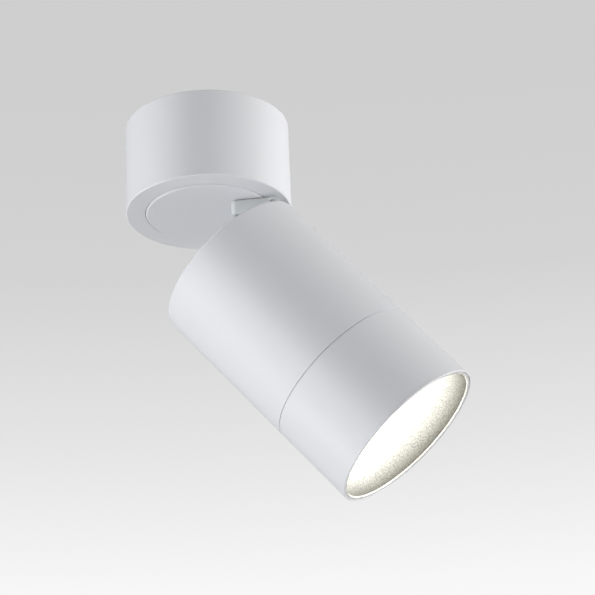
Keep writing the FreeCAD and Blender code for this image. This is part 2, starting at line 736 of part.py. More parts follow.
def swivel_disc():
    """The disc in the ring, its shoulder and hollow hub, and the sideways passage for the lead."""
    body = new_body("swivel_disc")
    outer, edge = D["disc_dia"] / 2, D["disc_edge"]
    face, back = P["disc_face"], P["disc_back"]
    shoulder, hub = D["shoulder_dia"] / 2, D["hub_dia"] / 2
    turn(body, [(0, face), (outer - edge, face), (outer, face + edge), (outer, back), (shoulder, back),
                (shoulder, P["shoulder_top"]), (hub, P["shoulder_top"]),
                (hub, P["hub_top"]), (0, P["hub_top"])])
    floor = face + D["hub_floor"]
    drill(body, 0, 0, D["hub_bore"], P["hub_top"], P["hub_top"] - floor)
    passage = new_sketch(body, "XY_Plane", floor)
    rectangle(passage, 0, D["lead_reach"], -D["lead_width"] / 2, D["lead_width"] / 2)
    cut(body, passage, P["shoulder_top"] - D["disc_edge"] - floor, upwards=True)
    drill(body, D["lead_reach"], 0, D["lead_width"], back, D["disc_thick"])
    threads = new_sketch(body, "XY_Plane", back)
    for x, y in arm_screw_places():
        circle(threads, x, y, D["screw_dia"])
    cut(body, threads, D["disc_thick"])
    return body


def arm_screw_places():
    """Centres of the two screws that hold the arm bracket on the disc."""
    return [(D["lead_reach"], D["arm_screw_pitch"] / 2 * side) for side in (-1, 1)]


def tab_washer():
    """The washer that turns with the hub; its tab meets the stop pin."""
    body = new_body("tab_washer")
    low = P["tab_low"]
    ring(body, D["hub_dia"] + 2 * D["hub_play"], D["tab_dia"], low, low + D["tab_thick"])
    tab = new_sketch(body, "XY_Plane", low)
    rectangle(tab, -D["tab_reach"], -(D["tab_dia"] + D["hub_dia"]) / 4,
              -D["tab_width"] / 2, D["tab_width"] / 2)
    raise_up(body, tab, D["tab_thick"])
    return body


def spring_washer():
    """The coned spring that presses the swivel together."""
    body = new_body("spring_washer")
    low, high = P["wave_low"], P["nut_low"]
    inner, outer = D["hub_dia"] / 2 + 2 * D["hub_play"], D["tab_dia"] / 2
    leaf = D["wave_thick"] / 2
    turn(body, [(inner, high - leaf), (outer, low), (outer, low + leaf), (inner, high)])
    return body


def swivel_nut():
    """The thin nut on the hub."""
    body = new_body("swivel_nut")
    base = new_sketch(body, "XY_Plane", P["nut_low"])
    hexagon(base, 0, 0, D["nut_flats"])
    circle(base, 0, 0, D["hub_dia"] + 2 * D["hub_play"])
    raise_up(body, base, D["nut_height"])
    return body


def arm_bracket():
    """The U-shaped arm: a base on the disc, a web with rounded corners, two side walls with hinge ears."""
    body = new_body("arm_bracket")
    left, half, corner = D["arm_start"], D["arm_width"] / 2, D["arm_corner"]
    right = D["pin_reach"] + D["ear_reach"]
    low = P["arm_low"]
    base = new_sketch(body, "XY_Plane", low)
    outline(base, [(left + corner, -half), (right, -half), (right, half), (left + corner, half),
                   (left, half - corner), (left, -half + corner)], arcs={3: corner, 5: corner})
    raise_up(body, base, D["arm_height"])
    wall, inner = D["arm_wall"], P["ear_inner"]
    bend = corner - wall
    channel = new_sketch(body, "XY_Plane", low)
    outline(channel, [(left + corner, -inner), (D["arm_base_end"], -inner), (D["arm_base_end"], inner),
                      (left + corner, inner), (left + wall, inner - bend), (left + wall, -inner + bend)],
            arcs={3: bend, 5: bend})
    cut(body, channel, D["arm_height"] - D["arm_base"], upwards=True)
    mouth = new_sketch(body, "XY_Plane", low)
    rectangle(mouth, D["arm_base_end"], right + wall, -inner, inner)
    cut(body, mouth, D["arm_height"], upwards=True)
    soften(body, "Fillet", D["ear_round"], lambda edge: is_ear_edge(edge, right))
    pin_hole = new_sketch(body, "XZ_Plane", half)
    circle(pin_hole, D["pin_reach"], P["pin_level"], D["pin_dia"] + 2 * D["pin_play"])
    cut(body, pin_hole, D["arm_width"])
    holes = new_sketch(body, "XY_Plane", P["disc_face"])
    circle(holes, D["lead_reach"], 0, D["lead_dia"])
    for x, y in arm_screw_places():
        circle(holes, x, y, D["screw_dia"] + 2 * D["screw_play"])
    cut(body, holes, D["arm_base"])
    return body


def is_ear_edge(edge, right):
    """True for the ears' end edges, which run across at the arm's far end."""
    box = edge.BoundBox
    return box.XLength < 1e-6 and box.ZLength < 1e-6 and abs(box.XMin - right.value) < 1e-4


def arm_screws():
    seat = P["disc_face"] - D["arm_base"]
    return screw_group("arm_screws", arm_screw_places(), seat, D["arm_base"] + D["disc_thick"] * 0.8,
                       driven_up=True)


def hinge_bolt():
    """The shouldered bolt across both ears that the head turns on."""
    body = new_body("hinge_bolt")
    half = D["arm_width"] / 2
    end = half + D["pin_nut_high"]
    shank = new_sketch(body, "XZ_Plane", -end)
    circle(shank, D["pin_reach"], P["pin_level"], D["pin_dia"])
    raise_up(body, shank, half + end)
    head = new_sketch(body, "XZ_Plane", half)
    circle(head, D["pin_reach"], P["pin_level"], D["pin_head_dia"])
    raise_up(body, head, D["pin_head_high"])
    socket = new_sketch(body, "XZ_Plane", half + D["pin_head_high"])
    hexagon(socket, D["pin_reach"], P["pin_level"], D["pin_dia"] * 0.75)
    cut(body, socket, D["pin_head_high"] * 0.7)
    return body


def hinge_nut():
    """The nut on the hinge bolt's far end."""
    body = new_body("hinge_nut")
    base = new_sketch(body, "XZ_Plane", -(D["arm_width"] / 2 + D["pin_nut_high"]))
    hexagon(base, D["pin_reach"], P["pin_level"], D["pin_nut_flats"])
    circle(base, D["pin_reach"], P["pin_level"], D["pin_dia"])
    raise_up(body, base, D["pin_nut_high"])
    return body


def hinge_washers():
    """Friction washers between the ears and the knuckle, one each side."""
    for name, level in (("hinge_washer_front", P["ear_inner"] - D["washer_thick"]),
                        ("hinge_washer_back", -P["ear_inner"])):
        body = new_body(name)
        base = new_sketch(body, "XZ_Plane", level)
        circle(base, D["pin_reach"], P["pin_level"], D["washer_dia"])
        circle(base, D["pin_reach"], P["pin_level"], D["pin_dia"] + 2 * D["pin_play"])
        raise_up(body, base, D["washer_thick"])


# ---------------------------------------------------------------- head

def tilt_knuckle():
    """The hinge casting on the head's rear wall: a barrel between the ears on a foot plate."""
    body = new_body("tilt_knuckle")
    half, reach, radius = P["knuckle_half"], D["pin_reach"], D["knuckle_dia"] / 2
    barrel = new_sketch(body, "XZ_Plane", -half)
    circle(barrel, reach, P["pin_level"], D["knuckle_dia"])
    raise_up(body, barrel, 2 * half)
    neck = new_sketch(body, "XZ_Plane", -half)
    rectangle(neck, reach - radius, reach + radius, along(0), P["pin_level"])
    raise_up(body, neck, 2 * half)
    plate = new_sketch(body, "XY_Plane", along(0))
    rectangle(plate, D["foot_start"], reach + radius, -half, half)
    raise_up(body, plate, D["foot_thick"])
    soften(body, "Fillet", D["foot_thick"] / 2, is_foot_root, grows=True)
    bore = new_sketch(body, "XZ_Plane", half)
    circle(bore, reach, P["pin_level"], D["pin_dia"] + 2 * D["pin_play"])
    cut(body, bore, 2 * half)
    holes = new_sketch(body, "XY_Plane", along(0) + D["foot_thick"])
    circle(holes, D["lead_reach"], 0, D["lead_dia"])
    for x, y in foot_screw_places():
        circle(holes, x, y, D["screw_dia"] + 2 * D["screw_play"])
    cut(body, holes, D["foot_thick"])
    return tilt(body)


def is_foot_root(edge):
    """True for the inner edge where the foot plate meets the neck of the barrel."""
    box = edge.BoundBox
    place = D["pin_reach"].value - D["knuckle_dia"].value / 2
    level = (along(0) + D["foot_thick"]).value
    return (box.XLength < 1e-6 and box.ZLength < 1e-6 and abs(box.XMin - place) < 1e-4
            and abs(box.ZMin - level) < 1e-4)


def foot_screw_places():
    """Centres of the two screws that hold the knuckle on the head."""
    return [(D["lead_reach"], D["foot_screw_pitch"] / 2 * side) for side in (-1, 1)]


def foot_screws():
    seat = along(0) + D["foot_thick"]
    group = screw_group("foot_screws", foot_screw_places(), seat, D["foot_thick"] + D["head_back"],
                        head_high=D["screw_head_high"] * 0.6)
    tilt_group(group)


def head_housing():
    """The head's long rear shell: a deep cup with a rounded rear edge, drilled for hinge and lead."""
    body = new_body("head_housing")
    outer, bore, back = D["head_dia"] / 2, P["housing_bore"] / 2, along(D["head_back"])
    edge = D["head_round"]
    turn(body, [(bore, along(D["seam_at"])), (outer, along(D["seam_at"])), (outer, along(edge)),
                (outer - edge, along(0)), (0, along(0)), (0, back), (bore, back)], arcs={2: edge})
    holes = new_sketch(body, "XY_Plane", along(0))
    circle(holes, D["lead_reach"], 0, D["lead_dia"])
    circle(holes, 0, 0, D["sink_screw_dia"])
    for x, y in foot_screw_places():
        circle(holes, x, y, D["screw_dia"])
    cut(body, holes, D["head_back"])
    head, shank = D["sink_screw_dia"], D["sink_screw_dia"] / 2
    turn(body, [(0, along(head / 2)), (shank, along(head / 2)), (head, along(0)), (0, along(0))], hollow=True)
    return tilt(body)


def lead_grommet():
    """The rubber sleeve that lines the lead's hole."""
    body = new_body("lead_grommet")
    inside = along(D["head_back"])
    flange = new_sketch(body, "XY_Plane", inside - D["grommet_flange"])
    circle(flange, D["lead_reach"], 0, D["lead_dia"] * 1.4)
    raise_up(body, flange, D["grommet_flange"])
    sleeve = new_sketch(body, "XY_Plane", inside)
    circle(sleeve, D["lead_reach"], 0, D["lead_dia"])
    raise_up(body, sleeve, D["head_back"] + D["foot_thick"])
    drill(body, D["lead_reach"], 0, D["lead_dia"] * 0.6, along(0) + D["foot_thick"],
          D["head_back"] + D["foot_thick"] + D["grommet_flange"])
    return tilt(body)


def sink_screw():
    """The countersunk screw through the rear wall into the heat sink's core."""
    body = new_body("sink_screw")
    head, shank = D["sink_screw_dia"], D["sink_screw_dia"] / 2
    end = along(D["sink_screw_long"])
    turn(body, [(0, end), (shank, end), (shank, along(head / 2)), (head, along(0)), (0, along(0))])
    recess = new_sketch(body, "XY_Plane", along(0))
    hexagon(recess, 0, 0, head * 0.6)
    cut(body, recess, head * 0.45)
    return tilt(body)


def heat_sink():
    """The finned casting that fills the rear shell: core, radial fins and the base under the light."""
    body = new_body("heat_sink")
    reach = P["housing_bore"] / 2 - D["sink_slack"]
    front = along(D["sink_front"])
    base_back = along(D["sink_front"] - D["sink_base"])
    rod(body, D["sink_core"], base_back, along(D["head_back"]))
    rod(body, 2 * reach, front, base_back)
    fin = new_sketch(body, "XY_Plane", base_back)
    half = D["fin_thick"] / 2
    rectangle(fin, D["sink_core"] / 4, reach, -half, half)
    blade = raise_up(body, fin, along(D["sink_start"]) - base_back)
    around(body, [blade], D["fin_count"])
    drill(body, 0, 0, D["sink_screw_dia"], along(D["head_back"]), D["sink_screw_long"] - D["head_back"])
    wells = new_sketch(body, "XY_Plane", front)
    for x, y in holder_screw_places():
        circle(wells, x, y, D["screw_dia"])
    cut(body, wells, D["sink_base"] * 0.8, upwards=True)
    way = new_sketch(body, "XY_Plane", front)
    circle(way, *polar(D["lead_reach"] + D["lead_width"], LEAD_AZIMUTH), D["lead_width"])
    cut(body, way, D["sink_base"], upwards=True)
    return tilt(body)


LEAD_AZIMUTH = 11.25


def holder_screw_places():
    """Centres of the two screws that clamp the light source."""
    return [(D["holder_pitch"] / 2 * side, 0) for side in (-1, 1)]


def square_plate(name, side, low, high):
    """A thin square plate centred on the head's axis."""
    body = new_body(name)
    base = new_sketch(body, "XY_Plane", low)
    rectangle(base, -side / 2, side / 2, -side / 2, side / 2)
    raise_up(body, base, high - low)
    return tilt(body)


def light_source():
    """The thermal pad, the LED board and its round emitting face, stacked on the heat sink."""
    pad_front = D["sink_front"] + D["pad_thick"]
    board_front = pad_front + D["chip_thick"]
    square_plate("thermal_pad", D["chip_side"], along(pad_front), along(D["sink_front"]))
    square_plate("led_board", D["chip_side"], along(board_front), along(pad_front))
    body = new_body("led_emitter")
    rod(body, D["glow_dia"], along(board_front + D["glow_thick"]), along(board_front))
    tilt(body)


def chip_holder():
    """The round holder over the board: square pocket behind, bevelled opening in front."""
    body = new_body("chip_holder")
    low, high = along(D["sink_front"] + D["holder_high"]), along(D["sink_front"])
    outer, inner, bevel = D["holder_dia"] / 2, D["holder_open"] / 2, D["holder_high"] / 4
    turn(body, [(inner, low), (outer - bevel, low), (outer, low + bevel), (outer, high), (inner, high)])
    pocket = new_sketch(body, "XY_Plane", high)
    half = D["chip_side"] / 2 + D["screw_play"]
    rectangle(pocket, -half, half, -half, half)
    cut(body, pocket, D["pad_thick"] + D["chip_thick"])
    holes = new_sketch(body, "XY_Plane", high)
    for x, y in holder_screw_places():
        circle(holes, x, y, D["screw_dia"] + 2 * D["screw_play"])
    cut(body, holes, D["holder_high"])
    return tilt(body)


def holder_screws():
    seat = along(D["sink_front"] + D["holder_high"])
    group = screw_group("holder_screws", holder_screw_places(), seat, D["holder_high"] + D["sink_base"] * 0.6,
                        driven_up=True)
    tilt_group(group)


def reflector():
    """The spun bowl: an even wall on one long arc, from the light source to a flat flange at the mouth."""
    body = new_body("reflector")
    neck, wall = D["holder_open"] / 2, D["bowl_wall"]
    mouth = P["ledge_bore"] / 2 - D["bowl_slack"] - wall
    top = along(D["sink_front"] + D["holder_high"])
    seat = along(D["head_length"] - D["ledge_depth"])
    face = seat - D["bowl_flange"]
    rim = P["front_bore"] / 2 - D["bowl_slack"]
    turn(body, [(neck, top), (mouth, face), (rim, face), (rim, seat), (mouth + wall, seat),
                (neck + wall * 1.25, top)], arcs={0: -D["bowl_radius"], 4: D["bowl_radius"] + wall})
    return tilt(body)


def front_barrel():
    """The front shell: a spigot in the housing, a shadow groove at the seam, a ledge and a thin lip."""
    body = new_body("front_barrel")
    outer, bore = D["head_dia"] / 2, P["front_bore"] / 2
    spigot = P["housing_bore"] / 2 - D["spigot_slack"]
    inner = spigot - D["spigot_thick"]
    ledge, lip = P["ledge_bore"] / 2, D["lip_round"]
    seam, front = D["seam_at"], D["head_length"]
    groove = outer - D["seam_groove"]
    ledge_level = along(front - D["ledge_depth"])
    turn(body, [(bore, along(front - lip)), (bore + lip, along(front)), (outer - lip, along(front)),
                (outer, along(front - lip)), (outer, along(seam + D["seam_width"])),
                (groove, along(seam + D["seam_width"])), (groove, along(seam)), (spigot, along(seam)),
                (spigot, along(seam - D["spigot_long"])), (inner, along(seam - D["spigot_long"])),
                (inner, along(seam + D["spigot_thick"])), (ledge, along(seam + D["spigot_thick"])),
                (ledge, ledge_level), (bore, ledge_level)], arcs={0: lip, 2: lip})
    return tilt(body)


# ---------------------------------------------------------------- run

def build():
    """Makes every piece, from the ceiling down."""
    for make in (mounting_plate, earth_screw, canopy_shell, canopy_lock_screw, carrier_plate, carrier_screws,
                 stop_pin, glide_washers, driver_tray, tray_screws, led_driver, driver_screws, terminal_block,
                 block_screws, cable_clamp, clamp_screws,
                 swivel_disc, tab_washer, spring_washer, swivel_nut, arm_bracket, arm_screws,
                 hinge_bolt, hinge_nut, hinge_washers,
                 tilt_knuckle, foot_screws, head_housing, lead_grommet, heat_sink, sink_screw, light_source,
                 chip_holder, holder_screws, reflector, front_barrel):
        make()


def check():
    """Stops if any object failed or any sub-part's shape is not a sound solid."""
    doc.recompute()
    for item in doc.Objects:
        if {"Invalid", "Error"} & set(item.State):
            raise RuntimeError(f"{item.Label} failed: {item.State}")
    for item in parts:
        if item.Shape.isNull() or not item.Shape.isValid() or not item.Shape.Solids:
            raise RuntimeError(f"{item.Label} is not a sound solid")


def write_out():
    """Writes each sub-part to its own file."""
    os.makedirs("parts", exist_ok=True)
    for item in parts:
        item.Shape.exportStep(f"parts/{item.Label}.step")


if __name__ == "__main__":
    build()
    check()
    write_out()
    for item in parts:
        print(item.Label, len(item.Shape.Solids), round(item.Shape.Volume, 1))
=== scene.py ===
"""Ceiling spotlight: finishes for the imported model, its bent arm, its dimpled bowl and a studio.

Everything is in metres in the model's own frame: +Z up, the ceiling face at zero, the hinge along Y.
"""
import bmesh
import bpy
import math
from bpy.props import FloatProperty, FloatVectorProperty, IntProperty, PointerProperty
from mathutils import Matrix, Quaternion, Vector


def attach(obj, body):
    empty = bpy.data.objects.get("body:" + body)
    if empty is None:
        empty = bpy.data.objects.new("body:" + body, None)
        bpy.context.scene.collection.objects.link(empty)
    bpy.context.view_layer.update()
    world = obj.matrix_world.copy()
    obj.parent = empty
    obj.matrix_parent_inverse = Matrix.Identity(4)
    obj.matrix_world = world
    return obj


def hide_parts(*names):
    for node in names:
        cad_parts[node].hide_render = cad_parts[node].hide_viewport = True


bl_info = {
    "name": "Ceiling Spotlight",
    "version": (1, 0, 0),
    "blender": (4, 5, 0),
    "location": "3D View > Sidebar > Spotlight",
    "description": "Finishes, arm, reflector bowl and studio of a surface mounted ceiling spotlight",
    "category": "Object",
}

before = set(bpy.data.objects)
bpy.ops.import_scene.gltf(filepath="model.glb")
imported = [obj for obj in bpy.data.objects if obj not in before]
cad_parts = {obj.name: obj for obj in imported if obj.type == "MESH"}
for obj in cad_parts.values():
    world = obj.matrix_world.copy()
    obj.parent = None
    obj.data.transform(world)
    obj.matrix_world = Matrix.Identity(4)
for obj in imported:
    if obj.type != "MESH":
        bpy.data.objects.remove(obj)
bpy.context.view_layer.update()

MM = 0.001


# ---------------------------------------------------------------- sizes and colours a user would change

def colour(name, description, default):
    """A colour property."""
    return FloatVectorProperty(name=name, description=description, subtype="COLOR", size=3,
                               min=0.0, max=1.0, default=default)


def length(name, description, default):
    """A length property, in metres."""
    return FloatProperty(name=name, description=description, subtype="DISTANCE", unit="LENGTH",
                         default=default)


def power(name, description, default):
    """A lamp's power, in watts."""
    return FloatProperty(name=name, description=description, min=0.0, default=default)


class SpotlightFinishes(bpy.types.PropertyGroup):
    """Colours and surface sizes of the spotlight's finishes."""

    coat: colour("White coat", "Powder coat on canopy, disc and head", (0.79, 0.80, 0.825))
    # The arm's coat is the white coat darkened and tinted green: painted shade of the gap under the disc,
    # with a painted reflection of the glow.
    arm_coat_painted_shade: colour("Arm coat", "Thinner coat on the arm and the hinge", (0.70, 0.73, 0.72))
    grain: length("Coat grain", "Size of the powder coat's fine grain", 0.45 * MM)
    zinc: colour("Zinc", "Zinc-plated sheet inside the canopy", (0.52, 0.53, 0.55))
    # The bowl's two colours paint light and shade: pale where the source floods it, nearly black at the
    # mouth as painted shade.
    bowl: colour("Bowl metal", "Reflector bowl where the source floods it", (0.80, 0.80, 0.775))
    bowl_mouth_painted_shade: colour("Bowl rim", "Reflector bowl at its mouth", (0.06, 0.06, 0.05))
    plastic: colour("White plastic", "Moulded plastic of driver and holder", (0.74, 0.74, 0.72))
    glow: FloatProperty(name="Glow", description="Brightness of the light source", min=0.0, default=450.0)
    glow_colour: colour("Glow colour", "Colour of the light source's light", (1.0, 1.0, 0.975))


class SpotlightBowl(bpy.types.PropertyGroup):
    """Sizes of the reflector bowl's inside face."""

    neck: length("Neck radius", "Inside radius at the light source", 9.8 * MM)
    mouth: length("Mouth radius", "Inside radius at the mouth", 42.6 * MM)
    sweep: length("Sweep radius", "Radius of the bowl's profile arc", 110.0 * MM)
    neck_at: length("Neck place", "Distance of the neck from the head's rear face", 84.5 * MM)
    mouth_at: length("Mouth place", "Distance of the mouth from the head's rear face", 138.2 * MM)
    flange: length("Flange radius", "Outside radius of the flange", 44.0 * MM)
    flange_thick: length("Flange thickness", "Thickness of the flange", 0.8 * MM)
    wall: length("Wall", "Thickness of the bowl's wall", 0.7 * MM)
    pebble: length("Pebble size", "Distance between the bowl's dimples", 1.25 * MM)
    depth: length("Pebble depth", "Depth of the bowl's dimples", 0.16 * MM)
    rings: IntProperty(name="Rings", description="Faces along the profile", min=8, default=150)
    sides: IntProperty(name="Sides", description="Faces around the bowl", min=16, default=430)


class SpotlightStudio(bpy.types.PropertyGroup):
    """The studio's light, floor and camera."""

    fill: FloatProperty(name="Fill", description="Brightness of the light from all round", min=0.0,
                        default=0.33)
    near_lamp: power("Near lamp", "Soft lamp between the camera and the left side", 5.2)
    left_lamp: power("Left lamp", "Soft lamp at the left side", 6.6)
    low_lamp: power("Low lamp", "Soft lamp low at the left side", 6.4)
    right_lamp: power("Right lamp", "Soft lamp at the right side", 19.0)
    back_lamp: power("Back lamp", "Soft lamp behind the right side", 3.0)
    floor_level: length("Floor level", "Height of the floor", -1.3)
    lens: FloatProperty(name="Lens", description="Focal length, millimetres", min=1.0, default=135.33)
    camera_place: FloatVectorProperty(name="Camera place", description="Where the camera stands",
                                      subtype="XYZ", unit="LENGTH", size=3,
                                      default=(0.1364, -1.0765, -0.6066))
    camera_aim: FloatVectorProperty(name="Camera aim", description="The point that the camera looks at",
                                    subtype="XYZ", unit="LENGTH", size=3,
                                    default=(0.0463, 0.0, -0.1064))
    camera_roll: FloatProperty(name="Camera roll", description="Turn of the camera about its own view",
                               subtype="ANGLE", unit="ROTATION", default=math.radians(-2.47))


class SpotlightHead(bpy.types.PropertyGroup):
    """How the head stands at rest, for pieces made along its axis."""

    pin_x: length("Pin reach", "Distance of the hinge pin from the canopy's axis", 36.5 * MM)
    pin_z: length("Pin level", "Height of the hinge pin", -57.2 * MM)
    rear_z: length("Rear level", "Height of the rear face with the head straight down", -61.5 * MM)
    tilt: FloatProperty(name="Tilt", description="Tilt of the head at rest", subtype="ANGLE",
                        unit="ROTATION", default=math.radians(40.0))


class SpotlightArm(bpy.types.PropertyGroup):
    """Sizes of the arm, a U of bent sheet against the disc."""

    start: length("Start", "Distance of the web from the canopy's axis", 13.8 * MM)
    reach: length("Reach", "Distance of the ears' ends from the canopy's axis", 40.5 * MM)
    half: length("Half width", "Half of the width over the side walls", 15.7 * MM)
    top: length("Top level", "Level of the disc's face", -52.8 * MM)
    height: length("Height", "Height of the side walls", 8.3 * MM)
    wall: length("Wall", "Thickness of the sheet", 2.2 * MM)
    corner: length("Corner", "Outside radius of the web's corners", 3.0 * MM)
    bend: length("Bend", "Outside radius of the bend along the base", 1.5 * MM)
    edge: length("Edge", "Rounding of the lower edge", 0.35 * MM)
    ear: length("Ear radius", "Rounding of the ears' ends", 3.7 * MM)
    base: length("Base", "Thickness of the base", 2.0 * MM)
    base_end: length("Base end", "Distance of the base's end from the canopy's axis", 30.5 * MM)
    lead_at: length("Lead place", "Distance of the lead's hole from the canopy's axis", 23.0 * MM)
    lead: length("Lead hole", "Diameter of the lead's hole", 7.5 * MM)


def head_matrix():
    """From a frame on the head's rear face, with Z along the beam, to the row frame at rest."""
    head = bpy.context.scene.spotlight_head
    pin = Vector((head.pin_x, 0.0, head.pin_z))
    turn = Matrix.Translation(pin) @ Matrix.Rotation(-head.tilt, 4, "Y") @ Matrix.Translation(-pin)
    flip = Matrix.Rotation(math.pi, 4, "X")
    return turn @ Matrix.Translation((0, 0, head.rear_z)) @ flip


# ---------------------------------------------------------------- fixed values of the finishes

COAT_IOR = 1.48
COAT_RELIEF = 0.03 * MM
PEEL_SCALE = 420.0                # the coat's orange-peel, waves in a metre
PEEL_SHARE = 0.45                 # its part in the coat's relief, beside the fine grain
CLOUD_SCALE = 38.0                # the broad change of tone and gloss, waves in a metre
THIN_COAT = 0.8                   # the arm's grain, as a part of the white coat's

METAL_RELIEF = 0.02 * MM
LINE_STRETCH = (0.03, 1.0, 1.0)   # draws the noise out into lines along X
SPANGLE_SCALE = 260.0             # zinc spangles in a metre
METAL_TONES = (0.86, 1.06)        # darkest and palest grain
METAL_GLOSS = 0.16                # how far the roughness changes with the grain

MOULD_GRAIN = 0.3 * MM
MOULD_BUMP = 0.25

BOWL_PAINTED_SHADE_START = 0.6                   # the way from neck to mouth at which the bowl's painted shade starts to darken it
BOWL_METALLIC = 0.25
BOWL_GLOSS = (0.45, 0.62)         # least and greatest roughness
PEBBLE_SCALE = 1300.0             # pebbles in a metre of the finish
PEBBLE_SPAN = (0.25, 0.75)        # from a pebble's middle to its joint
PEBBLE_TONES = (1.1, 0.65)        # tone of the middle and of the joint
PEBBLE_BUMP = 0.5
PEBBLE_RELIEF = 0.08 * MM
FROST_SCALE = 1500.0              # the change of gloss, waves in a metre

GLOW_SCALE = 900.0                # grains of the lit face in a metre
GLOW_WARM = (1.0, 0.94, 0.80)
PHOSPHOR = (0.9, 0.75, 0.3)

ACETAL = (0.78, 0.77, 0.70)
BOARD_MASK = (0.82, 0.82, 0.80)
SILICONE = (0.34, 0.36, 0.38)
RUBBER = (0.10, 0.105, 0.11)
CAST_METAL = (0.55, 0.56, 0.58)
TURNED_STEEL = (0.50, 0.50, 0.52)
TERMINAL_PLASTIC = (0.70, 0.70, 0.68)
CLAMP_PLASTIC = (0.66, 0.66, 0.64)


# ---------------------------------------------------------------- shader helpers

def new_material(name):
    """An empty node material with its shader wired to the output: (material, tree, shader)."""
    material = bpy.data.materials.new(name)
    material.use_nodes = True
    tree = material.node_tree
    tree.nodes.clear()
    output = tree.nodes.new("ShaderNodeOutputMaterial")
    shader = tree.nodes.new("ShaderNodeBsdfPrincipled")
    tree.links.new(shader.outputs["BSDF"], output.inputs["Surface"])
    return material, tree, shader


def node(tree, kind, **values):
    """A node with named inputs or attributes set."""
    made = tree.nodes.new(kind)
    for name, value in values.items():
        if name in made.inputs:
            made.inputs[name].default_value = value
        else:
            setattr(made, name, value)
    return made


def object_place(tree):
    """The socket of the object's own coordinates."""
    return tree.nodes.new("ShaderNodeTexCoord").outputs["Object"]


def new_group(name, inputs, outputs):
    """A shader node group with its sockets: (tree, input node, output node)."""
    tree = bpy.data.node_groups.new(name, "ShaderNodeTree")
    for label, kind, value in inputs:
        made = tree.interface.new_socket(name=label, in_out="INPUT", socket_type=f"NodeSocket{kind}")
        if value is not None:
            made.default_value = value
    for label, kind in outputs:
        tree.interface.new_socket(name=label, in_out="OUTPUT", socket_type=f"NodeSocket{kind}")
    return tree, tree.nodes.new("NodeGroupInput"), tree.nodes.new("NodeGroupOutput")


def place_group(tree, group, vector, **values):
    """Puts a group into a material, fed by a vector, with values of its own."""
    made = tree.nodes.new("ShaderNodeGroup")
    made.node_tree = group
    for name, value in values.items():
        made.inputs[name].default_value = value
    tree.links.new(vector, made.inputs["Vector"])
    return made


def rgba(values):
    """A colour with full alpha."""
    return (*values, 1.0)


def powder_grain():
    """The coat's texture: a fine grain, a broad orange-peel, and a faint change of tone and gloss."""
    if "powder grain" in bpy.data.node_groups:
        return bpy.data.node_groups["powder grain"]
    tree, start, end = new_group("powder grain", [
        ("Vector", "Vector", None), ("Colour", "Color", (0.8, 0.8, 0.8, 1.0)),
        ("Grain", "Float", 0.45 * MM), ("Roughness", "Float", 0.5), ("Tone", "Float", 0.02),
        ("Gloss", "Float", 0.08)],
        [("Colour", "Color"), ("Roughness", "Float"), ("Height", "Float")])
    link = tree.links.new
    scale = node(tree, "ShaderNodeMath", operation="DIVIDE")
    scale.inputs[0].default_value = 1.0
    link(start.outputs["Grain"], scale.inputs[1])
    fine = node(tree, "ShaderNodeTexNoise", Detail=3.0, Roughness=0.55)
    link(start.outputs["Vector"], fine.inputs["Vector"])
    link(scale.outputs[0], fine.inputs["Scale"])
    peel = node(tree, "ShaderNodeTexNoise", Scale=PEEL_SCALE, Detail=1.0)
    link(start.outputs["Vector"], peel.inputs["Vector"])
    clouds = node(tree, "ShaderNodeTexNoise", Scale=CLOUD_SCALE, Detail=4.0, Roughness=0.6)
    link(start.outputs["Vector"], clouds.inputs["Vector"])
    height = node(tree, "ShaderNodeMath", operation="MULTIPLY_ADD")
    height.inputs[1].default_value = PEEL_SHARE
    link(peel.outputs["Fac"], height.inputs[0])
    link(fine.outputs["Fac"], height.inputs[2])
    link(height.outputs[0], end.inputs["Height"])
    tone = node(tree, "ShaderNodeMapRange")
    tone.inputs["To Max"].default_value = 1.0
    link(clouds.outputs["Fac"], tone.inputs["Value"])
    low = node(tree, "ShaderNodeMath", operation="SUBTRACT")
    low.inputs[0].default_value = 1.0
    link(start.outputs["Tone"], low.inputs[1])
    link(low.outputs[0], tone.inputs["To Min"])
    shade = node(tree, "ShaderNodeMix", data_type="RGBA", blend_type="MULTIPLY")
    shade.inputs["Factor"].default_value = 1.0
    link(start.outputs["Colour"], shade.inputs["A"])
    link(tone.outputs["Result"], shade.inputs["B"])
    link(shade.outputs["Result"], end.inputs["Colour"])
    spread = node(tree, "ShaderNodeMath", operation="MULTIPLY_ADD")
    link(clouds.outputs["Fac"], spread.inputs[0])
    link(start.outputs["Gloss"], spread.inputs[1])
    link(start.outputs["Roughness"], spread.inputs[2])
    link(spread.outputs[0], end.inputs["Roughness"])
    return tree


